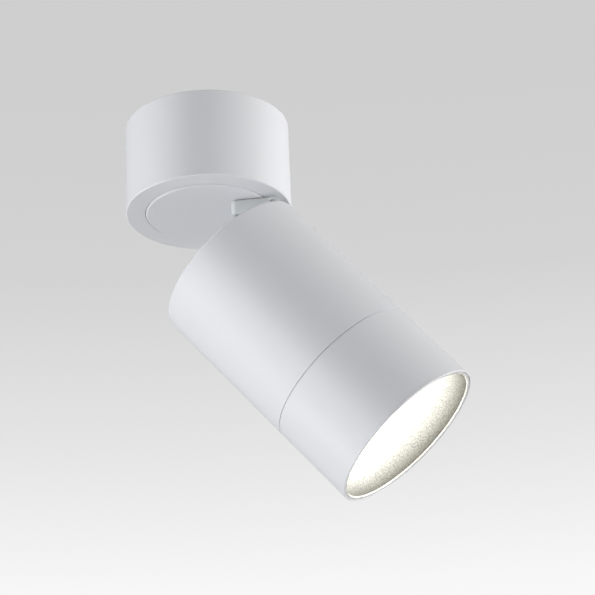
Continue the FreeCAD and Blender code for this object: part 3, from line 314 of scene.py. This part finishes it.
def metal_grain():
    """Worked metal: fine lines along one way, spangle cells, and a change of tone and gloss."""
    if "metal grain" in bpy.data.node_groups:
        return bpy.data.node_groups["metal grain"]
    tree, start, end = new_group("metal grain", [
        ("Vector", "Vector", None), ("Colour", "Color", (0.5, 0.5, 0.5, 1.0)),
        ("Roughness", "Float", 0.35), ("Lines", "Float", 1400.0), ("Spangle", "Float", 0.0)],
        [("Colour", "Color"), ("Roughness", "Float"), ("Height", "Float")])
    link = tree.links.new
    stretch = node(tree, "ShaderNodeVectorMath", operation="MULTIPLY")
    stretch.inputs[1].default_value = LINE_STRETCH
    link(start.outputs["Vector"], stretch.inputs[0])
    lines = node(tree, "ShaderNodeTexNoise", Detail=2.0)
    link(stretch.outputs["Vector"], lines.inputs["Vector"])
    link(start.outputs["Lines"], lines.inputs["Scale"])
    cells = node(tree, "ShaderNodeTexVoronoi", Scale=SPANGLE_SCALE)
    link(start.outputs["Vector"], cells.inputs["Vector"])
    grey = node(tree, "ShaderNodeSeparateColor")
    link(cells.outputs["Color"], grey.inputs["Color"])
    both = node(tree, "ShaderNodeMix", data_type="FLOAT")
    link(start.outputs["Spangle"], both.inputs["Factor"])
    link(lines.outputs["Fac"], both.inputs["A"])
    link(grey.outputs["Red"], both.inputs["B"])
    tone = node(tree, "ShaderNodeMapRange")
    tone.inputs["To Min"].default_value, tone.inputs["To Max"].default_value = METAL_TONES
    link(both.outputs["Result"], tone.inputs["Value"])
    shade = node(tree, "ShaderNodeMix", data_type="RGBA", blend_type="MULTIPLY")
    shade.inputs["Factor"].default_value = 1.0
    link(start.outputs["Colour"], shade.inputs["A"])
    link(tone.outputs["Result"], shade.inputs["B"])
    link(shade.outputs["Result"], end.inputs["Colour"])
    gloss = node(tree, "ShaderNodeMath", operation="MULTIPLY_ADD")
    gloss.inputs[1].default_value = METAL_GLOSS
    link(both.outputs["Result"], gloss.inputs[0])
    link(start.outputs["Roughness"], gloss.inputs[2])
    link(gloss.outputs[0], end.inputs["Roughness"])
    link(lines.outputs["Fac"], end.inputs["Height"])
    return tree


def bump(tree, height, strength, distance, shader):
    """A bump from a height to the shader's normal."""
    made = node(tree, "ShaderNodeBump", Strength=strength, Distance=distance)
    tree.links.new(height, made.inputs["Height"])
    tree.links.new(made.outputs["Normal"], shader.inputs["Normal"])


def coated(name, tint, grain, roughness, strength=0.3):
    """Powder coat on metal: satin grain under soft light."""
    material, tree, shader = new_material(name)
    coat = place_group(tree, powder_grain(), object_place(tree), Colour=rgba(tint), Grain=grain,
                       Roughness=roughness, Tone=0.03, Gloss=0.1)
    tree.links.new(coat.outputs["Colour"], shader.inputs["Base Color"])
    tree.links.new(coat.outputs["Roughness"], shader.inputs["Roughness"])
    shader.inputs["IOR"].default_value = COAT_IOR
    bump(tree, coat.outputs["Height"], strength, COAT_RELIEF, shader)
    return material


def worked_metal(name, tint, roughness, lines, spangle=0.0, strength=0.25):
    """Bare or plated metal with a working grain."""
    material, tree, shader = new_material(name)
    grain = place_group(tree, metal_grain(), object_place(tree), Colour=rgba(tint), Roughness=roughness,
                        Lines=lines, Spangle=spangle)
    tree.links.new(grain.outputs["Colour"], shader.inputs["Base Color"])
    tree.links.new(grain.outputs["Roughness"], shader.inputs["Roughness"])
    shader.inputs["Metallic"].default_value = 1.0
    bump(tree, grain.outputs["Height"], strength, METAL_RELIEF, shader)
    return material


def moulded(name, tint, roughness):
    """Moulded plastic or rubber: a spark-eroded mould texture in low relief."""
    material, tree, shader = new_material(name)
    skin = place_group(tree, powder_grain(), object_place(tree), Colour=rgba(tint), Grain=MOULD_GRAIN,
                       Roughness=roughness, Tone=0.05, Gloss=0.12)
    tree.links.new(skin.outputs["Colour"], shader.inputs["Base Color"])
    tree.links.new(skin.outputs["Roughness"], shader.inputs["Roughness"])
    bump(tree, skin.outputs["Height"], MOULD_BUMP, COAT_RELIEF, shader)
    return material


def bowl_metal_painted_shade():
    """Satin anodised bowl with dark joints between pebbles, and painted light and shade: pale near its
    source, olive at its mouth.
    """
    finish = bpy.context.scene.spotlight_finishes
    material, tree, shader = new_material("bowl_anodised")
    link = tree.links.new
    place = object_place(tree)
    reach = node(tree, "ShaderNodeAttribute", attribute_name="reach")
    # Painted shade: the colour darkens from the pale source colour to the nearly black mouth colour along
    # the reach.
    painted_shade_fade = node(tree, "ShaderNodeMapRange")
    painted_shade_fade.inputs["From Min"].default_value = BOWL_PAINTED_SHADE_START
    link(reach.outputs["Fac"], painted_shade_fade.inputs["Value"])
    tint = node(tree, "ShaderNodeMix", data_type="RGBA")
    tint.inputs["A"].default_value = rgba(finish.bowl)
    tint.inputs["B"].default_value = rgba(finish.bowl_mouth_painted_shade)
    link(painted_shade_fade.outputs["Result"], tint.inputs["Factor"])
    pebbles = node(tree, "ShaderNodeTexVoronoi", Scale=PEBBLE_SCALE)
    link(place, pebbles.inputs["Vector"])
    joints = node(tree, "ShaderNodeMapRange")
    joints.inputs["From Min"].default_value, joints.inputs["From Max"].default_value = PEBBLE_SPAN
    joints.inputs["To Min"].default_value, joints.inputs["To Max"].default_value = PEBBLE_TONES
    link(pebbles.outputs["Distance"], joints.inputs["Value"])
    shade = node(tree, "ShaderNodeMix", data_type="RGBA", blend_type="MULTIPLY")
    shade.inputs["Factor"].default_value = 1.0
    link(tint.outputs["Result"], shade.inputs["A"])
    link(joints.outputs["Result"], shade.inputs["B"])
    link(shade.outputs["Result"], shader.inputs["Base Color"])
    frost = node(tree, "ShaderNodeTexNoise", Scale=FROST_SCALE, Detail=3.0)
    link(place, frost.inputs["Vector"])
    gloss = node(tree, "ShaderNodeMapRange")
    gloss.inputs["To Min"].default_value, gloss.inputs["To Max"].default_value = BOWL_GLOSS
    link(frost.outputs["Fac"], gloss.inputs["Value"])
    link(gloss.outputs["Result"], shader.inputs["Roughness"])
    shader.inputs["Metallic"].default_value = BOWL_METALLIC
    bump(tree, pebbles.outputs["Distance"], PEBBLE_BUMP, PEBBLE_RELIEF, shader)
    return material


def glowing():
    """The lit phosphor face: bright all over, and a little warmer from grain to grain."""
    finish = bpy.context.scene.spotlight_finishes
    material, tree, shader = new_material("phosphor_lit")
    grain = node(tree, "ShaderNodeTexNoise", Scale=GLOW_SCALE, Detail=2.0)
    tree.links.new(object_place(tree), grain.inputs["Vector"])
    tint = node(tree, "ShaderNodeMix", data_type="RGBA")
    tint.inputs["A"].default_value = rgba(finish.glow_colour)
    tint.inputs["B"].default_value = rgba(GLOW_WARM)
    tree.links.new(grain.outputs["Fac"], tint.inputs["Factor"])
    tree.links.new(tint.outputs["Result"], shader.inputs["Emission Color"])
    shader.inputs["Emission Strength"].default_value = finish.glow
    shader.inputs["Base Color"].default_value = rgba(PHOSPHOR)
    shader.inputs["Roughness"].default_value = 0.4
    return material


def finish_node(name, material):
    """Gives a node of the model one material all over."""
    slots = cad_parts[name].material_slots
    if not slots:
        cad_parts[name].data.materials.append(material)
    for place in slots:
        place.material = material


# ---------------------------------------------------------------- mesh helpers

def settle(name, mesh, body, slot_name, *replaced):
    """Links a finished mesh as a piece that rides on a body, in place of nodes of the model."""
    piece = bpy.data.objects.new(name, mesh)
    bpy.context.scene.collection.objects.link(piece)
    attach(piece, body)
    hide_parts(*replaced)


def run_tree(name, tree, values, base):
    """Runs a geometry node tree once on a mesh and returns its result as a plain mesh."""
    holder = bpy.data.objects.new(f"{name}_holder", base)
    bpy.context.scene.collection.objects.link(holder)
    modifier = holder.modifiers.new("shape", "NODES")
    modifier.node_group = tree
    for item in tree.interface.items_tree:
        if item.item_type == "SOCKET" and item.in_out == "INPUT" and item.name in values:
            modifier[item.identifier] = values[item.name]
    graph = bpy.context.evaluated_depsgraph_get()
    graph.update()
    mesh = bpy.data.meshes.new_from_object(holder.evaluated_get(graph), depsgraph=graph)
    mesh.name = name
    holder.modifiers.clear()
    bpy.data.objects.remove(holder)
    bpy.data.meshes.remove(base)
    return mesh


def new_geometry_tree(name, inputs):
    """A geometry node tree with its sockets: (tree, input node, output node)."""
    tree = bpy.data.node_groups.new(name, "GeometryNodeTree")
    tree.interface.new_socket(name="Geometry", in_out="INPUT", socket_type="NodeSocketGeometry")
    for label, kind, value in inputs:
        made = tree.interface.new_socket(name=label, in_out="INPUT", socket_type=f"NodeSocket{kind}")
        if value is not None:
            made.default_value = value
    tree.interface.new_socket(name="Geometry", in_out="OUTPUT", socket_type="NodeSocketGeometry")
    return tree, tree.nodes.new("NodeGroupInput"), tree.nodes.new("NodeGroupOutput")


def end_tree(tree, geometry, start, end):
    """Ends a tree in realised instances with their material set."""
    real = tree.nodes.new("GeometryNodeRealizeInstances")
    paint = tree.nodes.new("GeometryNodeSetMaterial")
    tree.links.new(geometry, real.inputs["Geometry"])
    tree.links.new(real.outputs["Geometry"], paint.inputs["Geometry"])
    tree.links.new(start.outputs["Material"], paint.inputs["Material"])
    tree.links.new(paint.outputs["Geometry"], end.inputs["Geometry"])


# ---------------------------------------------------------------- reflector bowl

FLANGE_SHADE = 0.15       # the flange's place on the bowl's painted shade, from the neck's pale colour to the mouth's dark one
PLAIN_RINGS = 2           # rings at each end of the inside that get no dimples
OUTER_RINGS = 24          # faces along the outside's profile
NECK_WALL = 1.25          # the wall at the neck, in walls of the mouth
DIMPLE_SOFTNESS = 0.35
BOWL_SHARP = 50           # degrees


def dimple_tree():
    """Presses rounded dimples into faces marked as the inside, along their normals."""
    tree, start, end = new_geometry_tree("bowl dimples", [
        ("Pitch", "Float", 1.5 * MM), ("Depth", "Float", 0.05 * MM), ("Material", "Material", None)])
    link = tree.links.new
    count = node(tree, "ShaderNodeMath", operation="DIVIDE")
    count.inputs[0].default_value = 1.0
    link(start.outputs["Pitch"], count.inputs[1])
    cells = tree.nodes.new("ShaderNodeTexVoronoi")
    cells.feature = "SMOOTH_F1"
    cells.inputs["Smoothness"].default_value = DIMPLE_SOFTNESS
    link(count.outputs[0], cells.inputs["Scale"])
    mask = tree.nodes.new("GeometryNodeInputNamedAttribute")
    mask.data_type = "FLOAT"
    mask.inputs["Name"].default_value = "inside"
    press = node(tree, "ShaderNodeMath", operation="MULTIPLY")
    link(cells.outputs["Distance"], press.inputs[0])
    link(start.outputs["Depth"], press.inputs[1])
    held = node(tree, "ShaderNodeMath", operation="MULTIPLY")
    link(press.outputs[0], held.inputs[0])
    link(mask.outputs["Attribute"], held.inputs[1])
    normal = tree.nodes.new("GeometryNodeInputNormal")
    push = node(tree, "ShaderNodeVectorMath", operation="SCALE")
    link(normal.outputs["Normal"], push.inputs[0])
    link(held.outputs[0], push.inputs["Scale"])
    move = tree.nodes.new("GeometryNodeSetPosition")
    link(start.outputs["Geometry"], move.inputs["Geometry"])
    link(push.outputs["Vector"], move.inputs["Offset"])
    end_tree(tree, move.outputs["Geometry"], start, end)
    return tree


def arc_points(start, end, radius, count):
    """Points along the arc that bulges away from the axis between two (radius, distance) places."""
    a, b = Vector(start), Vector(end)
    chord = b - a
    half = chord.length / 2
    inward = Vector((-chord.y, chord.x)).normalized()
    centre = (a + b) / 2 + inward * math.sqrt(radius ** 2 - half ** 2)
    first = math.atan2(a.y - centre.y, a.x - centre.x)
    last = math.atan2(b.y - centre.y, b.x - centre.x)
    steps = [first + (last - first) * i / count for i in range(count + 1)]
    return [centre + Vector((math.cos(step), math.sin(step))) * radius for step in steps]


def spun_mesh(name, profile, sides, matrix, inside):
    """Spins a closed profile of (radius, distance) about the beam axis.

    Each point keeps whether it is on the inside, and its reach from the neck to the mouth, which sets the
    bowl's painted shade.
    """
    mesh = bpy.data.meshes.new(name)
    work = bmesh.new()
    mark = work.verts.layers.float.new("inside")
    reach = work.verts.layers.float.new("reach")
    low, high = min(point[1] for point in profile), max(point[1] for point in profile)
    rings = []
    for number, (radius, distance) in enumerate(profile):
        ring = []
        for side in range(sides):
            angle = 2 * math.pi * side / sides
            vertex = work.verts.new((radius * math.cos(angle), radius * math.sin(angle), distance))
            vertex[mark] = 1.0 if number in inside else 0.0
            # The reach sets the bowl's painted shade; points off the inside get FLANGE_SHADE.
            vertex[reach] = (distance - low) / (high - low) if number in inside else FLANGE_SHADE
            ring.append(vertex)
        rings.append(ring)
    for number, ring in enumerate(rings):
        after = rings[(number + 1) % len(rings)]
        for side in range(sides):
            turn = (side + 1) % sides
            work.faces.new((ring[side], ring[turn], after[turn], after[side]))
    bmesh.ops.transform(work, matrix=matrix, verts=work.verts)
    bmesh.ops.recalc_face_normals(work, faces=work.faces)
    for face in work.faces:
        face.smooth = True
    work.to_mesh(mesh)
    work.free()
    return mesh


def sharpen(mesh, angle):
    """Keeps edges over an angle sharp in smooth shading."""
    mesh.set_sharp_from_angle(angle=math.radians(angle))


class SPOT_OT_reflector_bowl(bpy.types.Operator):
    """Makes the reflector bowl with its dimpled inside"""

    bl_idname = "spotlight.reflector_bowl"
    bl_label = "Reflector bowl"

    def execute(self, context):
        bowl = context.scene.spotlight_bowl
        inner = arc_points((bowl.neck, bowl.neck_at), (bowl.mouth, bowl.mouth_at),
                           bowl.sweep, bowl.rings)
        seat = bowl.mouth_at - bowl.flange_thick
        outer = arc_points((bowl.neck + NECK_WALL * bowl.wall, bowl.neck_at),
                           (bowl.mouth + bowl.wall, seat), bowl.sweep + bowl.wall, OUTER_RINGS)
        rim = [Vector((bowl.flange, bowl.mouth_at)), Vector((bowl.flange, seat))]
        profile = inner + rim + outer[::-1]
        inside = range(PLAIN_RINGS, len(inner) - PLAIN_RINGS)
        base = spun_mesh("reflector_bowl", profile, bowl.sides, head_matrix(), inside)
        mesh = run_tree("reflector_bowl", dimple_tree(), {
            "Pitch": bowl.pebble, "Depth": bowl.depth, "Material": bowl_metal_painted_shade()}, base)
        sharpen(mesh, BOWL_SHARP)
        settle("reflector_bowl", mesh, "head", "bowl_aluminium", "reflector")
        return {"FINISHED"}


# ---------------------------------------------------------------- arm of bent sheet

EAR_STEPS = 10            # faces round an ear's end
CORNER_STEPS = 8          # faces round a corner of the web
BEND_STEPS = 6            # faces across the bend along the base
BEND_SHARE = 0.45         # the most that the bend takes of the wall, where an ear narrows
EDGE_SHARE = 0.3          # the same for the lower edge's rounding
BASE_LAP = 0.1 * MM       # how far the base reaches into the walls
HOLE_SIDES = 36
ARM_SHARP = 40            # degrees


def arm_stations(arm):
    """Places along the arm's outer face, from one ear round the web to the other: (x, y, inward way)."""
    turns = [math.radians(90 * step / EAR_STEPS) for step in range(EAR_STEPS, -1, -1)]
    side = [(arm.reach - arm.ear * (1 - math.sin(turn)), -arm.half, 0.0, 1.0) for turn in turns]
    centre_x, centre_y = arm.start + arm.corner, arm.half - arm.corner
    for step in range(CORNER_STEPS + 1):
        angle = math.radians(270 - 90 * step / CORNER_STEPS)
        out_x, out_y = math.cos(angle), math.sin(angle)
        side.append((centre_x + arm.corner * out_x, -centre_y + arm.corner * out_y, -out_x, -out_y))
    return side + [(x, -y, way_x, -way_y) for x, y, way_x, way_y in reversed(side)]


def arm_section(arm, x):
    """The sheet's section at a distance along the arm: (inset, level) points round it."""
    over = max(0.0, x - (arm.reach - arm.ear))
    cut = arm.ear - math.sqrt(max(0.0, arm.ear ** 2 - over ** 2))
    low, high = arm.top - arm.height + cut, arm.top - cut
    bend, edge = min(arm.bend, (high - low) * BEND_SHARE), min(arm.edge, (high - low) * EDGE_SHARE)
    points = [(edge * (1 - math.sin(turn)), low + edge * (1 - math.cos(turn)))
              for turn in (0.0, math.pi / 4, math.pi / 2)]
    for step in range(BEND_STEPS + 1):
        angle = math.radians(90 * step / BEND_STEPS)
        points.append((bend * (1 - math.cos(angle)), high - bend + bend * math.sin(angle)))
    return points + [(arm.wall, high), (arm.wall, low + edge), (arm.wall - edge, low)]


def drilled_slab(work, arm):
    """The arm's base: a flat plate between the walls, with the lead's hole."""
    inner = arm.half - arm.wall + BASE_LAP
    left = arm.start + arm.wall - BASE_LAP
    plate = [(left, -inner), (arm.base_end, -inner), (arm.base_end, inner), (left, inner)]
    radius = arm.lead / 2
    turns = [math.radians(360 * side / HOLE_SIDES) for side in range(HOLE_SIDES)]
    hole = [(arm.lead_at + radius * math.cos(turn), radius * math.sin(turn)) for turn in turns]
    edges = []
    for loop in (plate, hole):
        ring = [work.verts.new((x, y, arm.top - arm.base)) for x, y in loop]
        edges += [work.edges.new((ring[i - 1], ring[i])) for i in range(len(ring))]
    made = bmesh.ops.triangle_fill(work, use_beauty=True, edges=edges, normal=(0, 0, -1))
    faces = [item for item in made["geom"] if isinstance(item, bmesh.types.BMFace)]
    grown = bmesh.ops.extrude_face_region(work, geom=faces)
    tops = [item for item in grown["geom"] if isinstance(item, bmesh.types.BMVert)]
    bmesh.ops.translate(work, verts=tops, vec=(0, 0, arm.base))


class SPOT_OT_arm_sheet(bpy.types.Operator):
    """Makes the arm as bent sheet, with a soft bend against the disc"""

    bl_idname = "spotlight.arm_sheet"
    bl_label = "Arm sheet"

    def execute(self, context):
        arm = context.scene.spotlight_arm
        mesh = bpy.data.meshes.new("arm_sheet")
        work = bmesh.new()
        rows = []
        for x, y, way_x, way_y in arm_stations(arm):
            rows.append([work.verts.new((x + way_x * inset, y + way_y * inset, level))
                         for inset, level in arm_section(arm, x)])
        for row, after in zip(rows, rows[1:]):
            for i in range(len(row)):
                work.faces.new((row[i - 1], row[i], after[i], after[i - 1]))
        work.faces.new(rows[0])
        work.faces.new(rows[-1])
        drilled_slab(work, arm)
        bmesh.ops.recalc_face_normals(work, faces=work.faces)
        for face in work.faces:
            face.smooth = True
        work.to_mesh(mesh)
        work.free()
        sharpen(mesh, ARM_SHARP)
        mesh.materials.append(bpy.data.materials["arm_powder_coat"])
        settle("arm_sheet", mesh, "turntable", "white_coat_steel", "arm_bracket")
        return {"FINISHED"}


# ---------------------------------------------------------------- finishes on the model's own nodes

class SPOT_OT_white_shells(bpy.types.Operator):
    """Coats the canopy, the disc and the head in white powder"""

    bl_idname = "spotlight.white_shells"
    bl_label = "White shells"

    def execute(self, context):
        finish = context.scene.spotlight_finishes
        coat = coated("white_powder_coat", finish.coat, finish.grain, roughness=0.33)
        for name in ("canopy_shell", "swivel_disc", "head_housing", "front_barrel"):
            finish_node(name, coat)
        return {"FINISHED"}


class SPOT_OT_arm_and_hinge(bpy.types.Operator):
    """Finishes the arm, the hinge, their screws and the sliding washers"""

    bl_idname = "spotlight.arm_and_hinge"
    bl_label = "Arm and hinge"

    def execute(self, context):
        finish = context.scene.spotlight_finishes
        # Painted shade: the arm and the hinge get a darker, greenish copy of the white coat.
        coat = coated("arm_powder_coat", finish.arm_coat_painted_shade, finish.grain * THIN_COAT,
                      roughness=0.34, strength=0.2)
        for name in ("arm_bracket", "tilt_knuckle", "hinge_bolt", "hinge_nut", "arm_screws",
                     "foot_screws", "sink_screw"):
            finish_node(name, coat)
        slip = moulded("natural_acetal", ACETAL, roughness=0.3)
        for name in ("hinge_washer_front", "hinge_washer_back", "glide_washer_lower",
                     "glide_washer_upper"):
            finish_node(name, slip)
        return {"FINISHED"}


class SPOT_OT_light_source(bpy.types.Operator):
    """Lights the source and finishes its board, holder, pad and heat sink"""

    bl_idname = "spotlight.light_source"
    bl_label = "Light source"

    def execute(self, context):
        finish = context.scene.spotlight_finishes
        finish_node("led_emitter", glowing())
        finish_node("led_board", moulded("board_mask", BOARD_MASK, roughness=0.35))
        finish_node("chip_holder", moulded("holder_plastic", finish.plastic, roughness=0.45))
        finish_node("thermal_pad", moulded("silicone_pad", SILICONE, roughness=0.7))
        finish_node("lead_grommet", moulded("grommet_rubber", RUBBER, roughness=0.65))
        finish_node("heat_sink", worked_metal("cast_metal", CAST_METAL, roughness=0.5, lines=500.0,
                                              spangle=0.4, strength=0.4))
        return {"FINISHED"}


class SPOT_OT_canopy_inside(bpy.types.Operator):
    """Finishes the plates, the driver, the terminals and the fasteners in the canopy"""

    bl_idname = "spotlight.canopy_inside"
    bl_label = "Canopy inside"

    def execute(self, context):
        finish = context.scene.spotlight_finishes
        sheet = worked_metal("zinc_sheet", finish.zinc, roughness=0.30, lines=900.0,
                             spangle=0.75, strength=0.2)
        for name in ("mounting_plate", "carrier_plate", "driver_tray", "tab_washer"):
            finish_node(name, sheet)
        turned = worked_metal("turned_steel", TURNED_STEEL, roughness=0.26, lines=2600.0)
        for name in ("earth_screw", "canopy_lock_screw", "carrier_screws", "stop_pin", "tray_screws",
                     "driver_screws", "block_screws", "clamp_screws", "spring_washer", "swivel_nut",
                     "holder_screws"):
            finish_node(name, turned)
        finish_node("led_driver", moulded("driver_case", finish.plastic, roughness=0.5))
        finish_node("terminal_block", moulded("terminal_plastic", TERMINAL_PLASTIC, roughness=0.35))
        finish_node("cable_clamp", moulded("clamp_plastic", CLAMP_PLASTIC, roughness=0.45))
        return {"FINISHED"}


# ---------------------------------------------------------------- studio

BACKDROP = (
    # sine of the view's rise above the horizon, and the backdrop's grey there
    (0.20, 0.985), (0.27, 0.965), (0.30, 0.93), (0.36, 0.785), (0.43, 0.65), (0.50, 0.622),
)
FILL_TINT = (1.0, 0.99, 0.97)

FLOOR_RADIUS = 5.0
FLOOR_SIDES = 96
FLOOR_TONES = (0.80, 0.84)
FLOOR_MOTTLE = 3.0        # the paper's change of tone, waves in a metre
FLOOR_LIFT = 0.5          # added to the floor's own light where the camera sees it

SENSOR_WIDTH = 36.0       # millimetres
CLIP_START, CLIP_END = 0.01, 50.0

LAMP_AIM = (0.05, 0.0, -0.10)
LAMP_SIZE = (0.6, 1.0)
LAMPS = (
    # name, place, tint; a metre and a half from the spotlight
    ("near_lamp", (-1.05, -1.05, -0.10), (0.93, 0.95, 1.0)),
    ("left_lamp", (-1.35, -0.45, -0.10), (0.95, 0.97, 1.0)),
    ("low_lamp", (-1.10, -0.05, -1.05), (0.99, 0.99, 1.0)),
    ("right_lamp", (1.55, -0.05, -0.10), (1.0, 0.995, 1.0)),
    ("back_lamp", (1.15, 1.00, 0.10), (1.0, 1.0, 1.0)),
)


def backdrop_world():
    """Plain fill light for the object, and a pale graded backdrop behind it."""
    studio = bpy.context.scene.spotlight_studio
    world = bpy.data.worlds.new("studio_backdrop")
    bpy.context.scene.world = world
    world.use_nodes = True
    tree = world.node_tree
    tree.nodes.clear()
    output = tree.nodes.new("ShaderNodeOutputWorld")
    way = tree.nodes.new("ShaderNodeTexCoord")
    part = tree.nodes.new("ShaderNodeSeparateXYZ")
    tree.links.new(way.outputs["Generated"], part.inputs["Vector"])
    ramp = tree.nodes.new("ShaderNodeValToRGB")
    bands = ramp.color_ramp.elements
    while len(bands) < len(BACKDROP):
        bands.new(1.0)
    for band, (rise, grey) in zip(bands, BACKDROP):
        band.position = rise
        band.color = (grey, grey, grey, 1.0)
    tree.links.new(part.outputs["Z"], ramp.inputs["Fac"])
    seen = node(tree, "ShaderNodeBackground", Strength=1.0)
    tree.links.new(ramp.outputs["Color"], seen.inputs["Color"])
    fill = node(tree, "ShaderNodeBackground", Strength=studio.fill)
    fill.inputs["Color"].default_value = rgba(FILL_TINT)
    rays = tree.nodes.new("ShaderNodeLightPath")
    through = node(tree, "ShaderNodeMath", operation="MAXIMUM")
    tree.links.new(rays.outputs["Is Camera Ray"], through.inputs[0])
    tree.links.new(rays.outputs["Is Transmission Ray"], through.inputs[1])
    mix = tree.nodes.new("ShaderNodeMixShader")
    tree.links.new(through.outputs[0], mix.inputs["Fac"])
    tree.links.new(fill.outputs["Background"], mix.inputs[1])
    tree.links.new(seen.outputs["Background"], mix.inputs[2])
    tree.links.new(mix.outputs["Shader"], output.inputs["Surface"])


def soft_lamp(name, place, watts, tint):
    """A soft lamp that points at the spotlight."""
    data = bpy.data.lights.new(name, "AREA")
    data.shape = "RECTANGLE"
    data.size, data.size_y = LAMP_SIZE
    data.energy = watts
    data.color = tint
    lamp = bpy.data.objects.new(name, data)
    lamp.location = place
    lamp.rotation_mode = "QUATERNION"
    lamp.rotation_quaternion = (Vector(LAMP_AIM) - Vector(place)).to_track_quat("-Z", "Y")
    lamp.visible_camera = False
    bpy.context.scene.collection.objects.link(lamp)


class SPOT_OT_studio(bpy.types.Operator):
    """Builds the floor, the backdrop and the soft lamps"""

    bl_idname = "spotlight.studio"
    bl_label = "Studio"

    def execute(self, context):
        studio = context.scene.spotlight_studio
        context.scene.view_settings.view_transform = "Standard"
        backdrop_world()
        for name, place, tint in LAMPS:
            soft_lamp(name, place, getattr(studio, name), tint)
        mesh = bpy.data.meshes.new("studio_floor")
        work = bmesh.new()
        bmesh.ops.create_circle(work, cap_ends=True, radius=FLOOR_RADIUS, segments=FLOOR_SIDES,
                                matrix=Matrix.Translation((0, 0, studio.floor_level)))
        work.to_mesh(mesh)
        work.free()
        floor = bpy.data.objects.new("studio_floor", mesh)
        context.scene.collection.objects.link(floor)
        paper, tree, shader = new_material("floor_paper")
        tint = node(tree, "ShaderNodeTexNoise", Scale=FLOOR_MOTTLE)
        tree.links.new(object_place(tree), tint.inputs["Vector"])
        tone = node(tree, "ShaderNodeMapRange")
        tone.inputs["To Min"].default_value, tone.inputs["To Max"].default_value = FLOOR_TONES
        tree.links.new(tint.outputs["Fac"], tone.inputs["Value"])
        tree.links.new(tone.outputs["Result"], shader.inputs["Base Color"])
        shader.inputs["Roughness"].default_value = 0.9
        shader.inputs["Emission Color"].default_value = (1.0, 1.0, 1.0, 1.0)
        seen = node(tree, "ShaderNodeMath", operation="MULTIPLY")
        seen.inputs[1].default_value = FLOOR_LIFT
        tree.links.new(tree.nodes.new("ShaderNodeLightPath").outputs["Is Camera Ray"], seen.inputs[0])
        tree.links.new(seen.outputs[0], shader.inputs["Emission Strength"])
        mesh.materials.append(paper)
        return {"FINISHED"}


class SPOT_OT_camera(bpy.types.Operator):
    """Stands the camera where the picture was taken from"""

    bl_idname = "spotlight.camera"
    bl_label = "Camera"

    def execute(self, context):
        studio = context.scene.spotlight_studio
        data = bpy.data.cameras.new("studio_camera")
        data.lens = studio.lens
        data.sensor_width = SENSOR_WIDTH
        data.clip_start, data.clip_end = CLIP_START, CLIP_END
        camera = bpy.data.objects.new("studio_camera", data)
        place, aim = Vector(studio.camera_place), Vector(studio.camera_aim)
        camera.location = place
        camera.rotation_mode = "QUATERNION"
        level = (aim - place).to_track_quat("-Z", "Y")
        camera.rotation_quaternion = level @ Quaternion((0, 0, 1), studio.camera_roll)
        context.scene.collection.objects.link(camera)
        context.scene.camera = camera
        return {"FINISHED"}


class SPOT_PT_spotlight(bpy.types.Panel):
    """Lists the spotlight's sizes, finishes and steps"""

    bl_idname = "SPOT_PT_spotlight"
    bl_label = "Ceiling Spotlight"
    bl_space_type = "VIEW_3D"
    bl_region_type = "UI"
    bl_category = "Spotlight"

    def draw(self, context):
        layout = self.layout
        for group in ("spotlight_finishes", "spotlight_arm", "spotlight_bowl", "spotlight_head",
                      "spotlight_studio"):
            box = layout.box()
            values = getattr(context.scene, group)
            for name in values.bl_rna.properties.keys():
                if name not in ("rna_type", "name"):
                    box.prop(values, name)
        for step in STEPS:
            layout.operator(step)


STEPS = (
    "spotlight.camera", "spotlight.studio", "spotlight.white_shells", "spotlight.arm_and_hinge",
    "spotlight.light_source", "spotlight.canopy_inside", "spotlight.arm_sheet",
    "spotlight.reflector_bowl",
)

CLASSES = (
    SpotlightFinishes, SpotlightBowl, SpotlightStudio, SpotlightHead, SpotlightArm,
    SPOT_OT_camera, SPOT_OT_studio, SPOT_OT_white_shells, SPOT_OT_arm_and_hinge,
    SPOT_OT_light_source, SPOT_OT_canopy_inside, SPOT_OT_arm_sheet, SPOT_OT_reflector_bowl,
    SPOT_PT_spotlight,
)


def register():
    """Registers the classes and hangs the settings on the scene."""
    for item in CLASSES:
        bpy.utils.register_class(item)
    bpy.types.Scene.spotlight_finishes = PointerProperty(type=SpotlightFinishes)
    bpy.types.Scene.spotlight_bowl = PointerProperty(type=SpotlightBowl)
    bpy.types.Scene.spotlight_studio = PointerProperty(type=SpotlightStudio)
    bpy.types.Scene.spotlight_head = PointerProperty(type=SpotlightHead)
    bpy.types.Scene.spotlight_arm = PointerProperty(type=SpotlightArm)


def unregister():
    """Takes the settings and the classes away again."""
    del bpy.types.Scene.spotlight_arm
    del bpy.types.Scene.spotlight_head
    del bpy.types.Scene.spotlight_studio
    del bpy.types.Scene.spotlight_bowl
    del bpy.types.Scene.spotlight_finishes
    for item in reversed(CLASSES):
        bpy.utils.unregister_class(item)


def main():
    """Runs every step in order."""
    register()
    for step in STEPS:
        group, name = step.split(".")
        getattr(getattr(bpy.ops, group), name)()


if __name__ == "__main__":
    main()
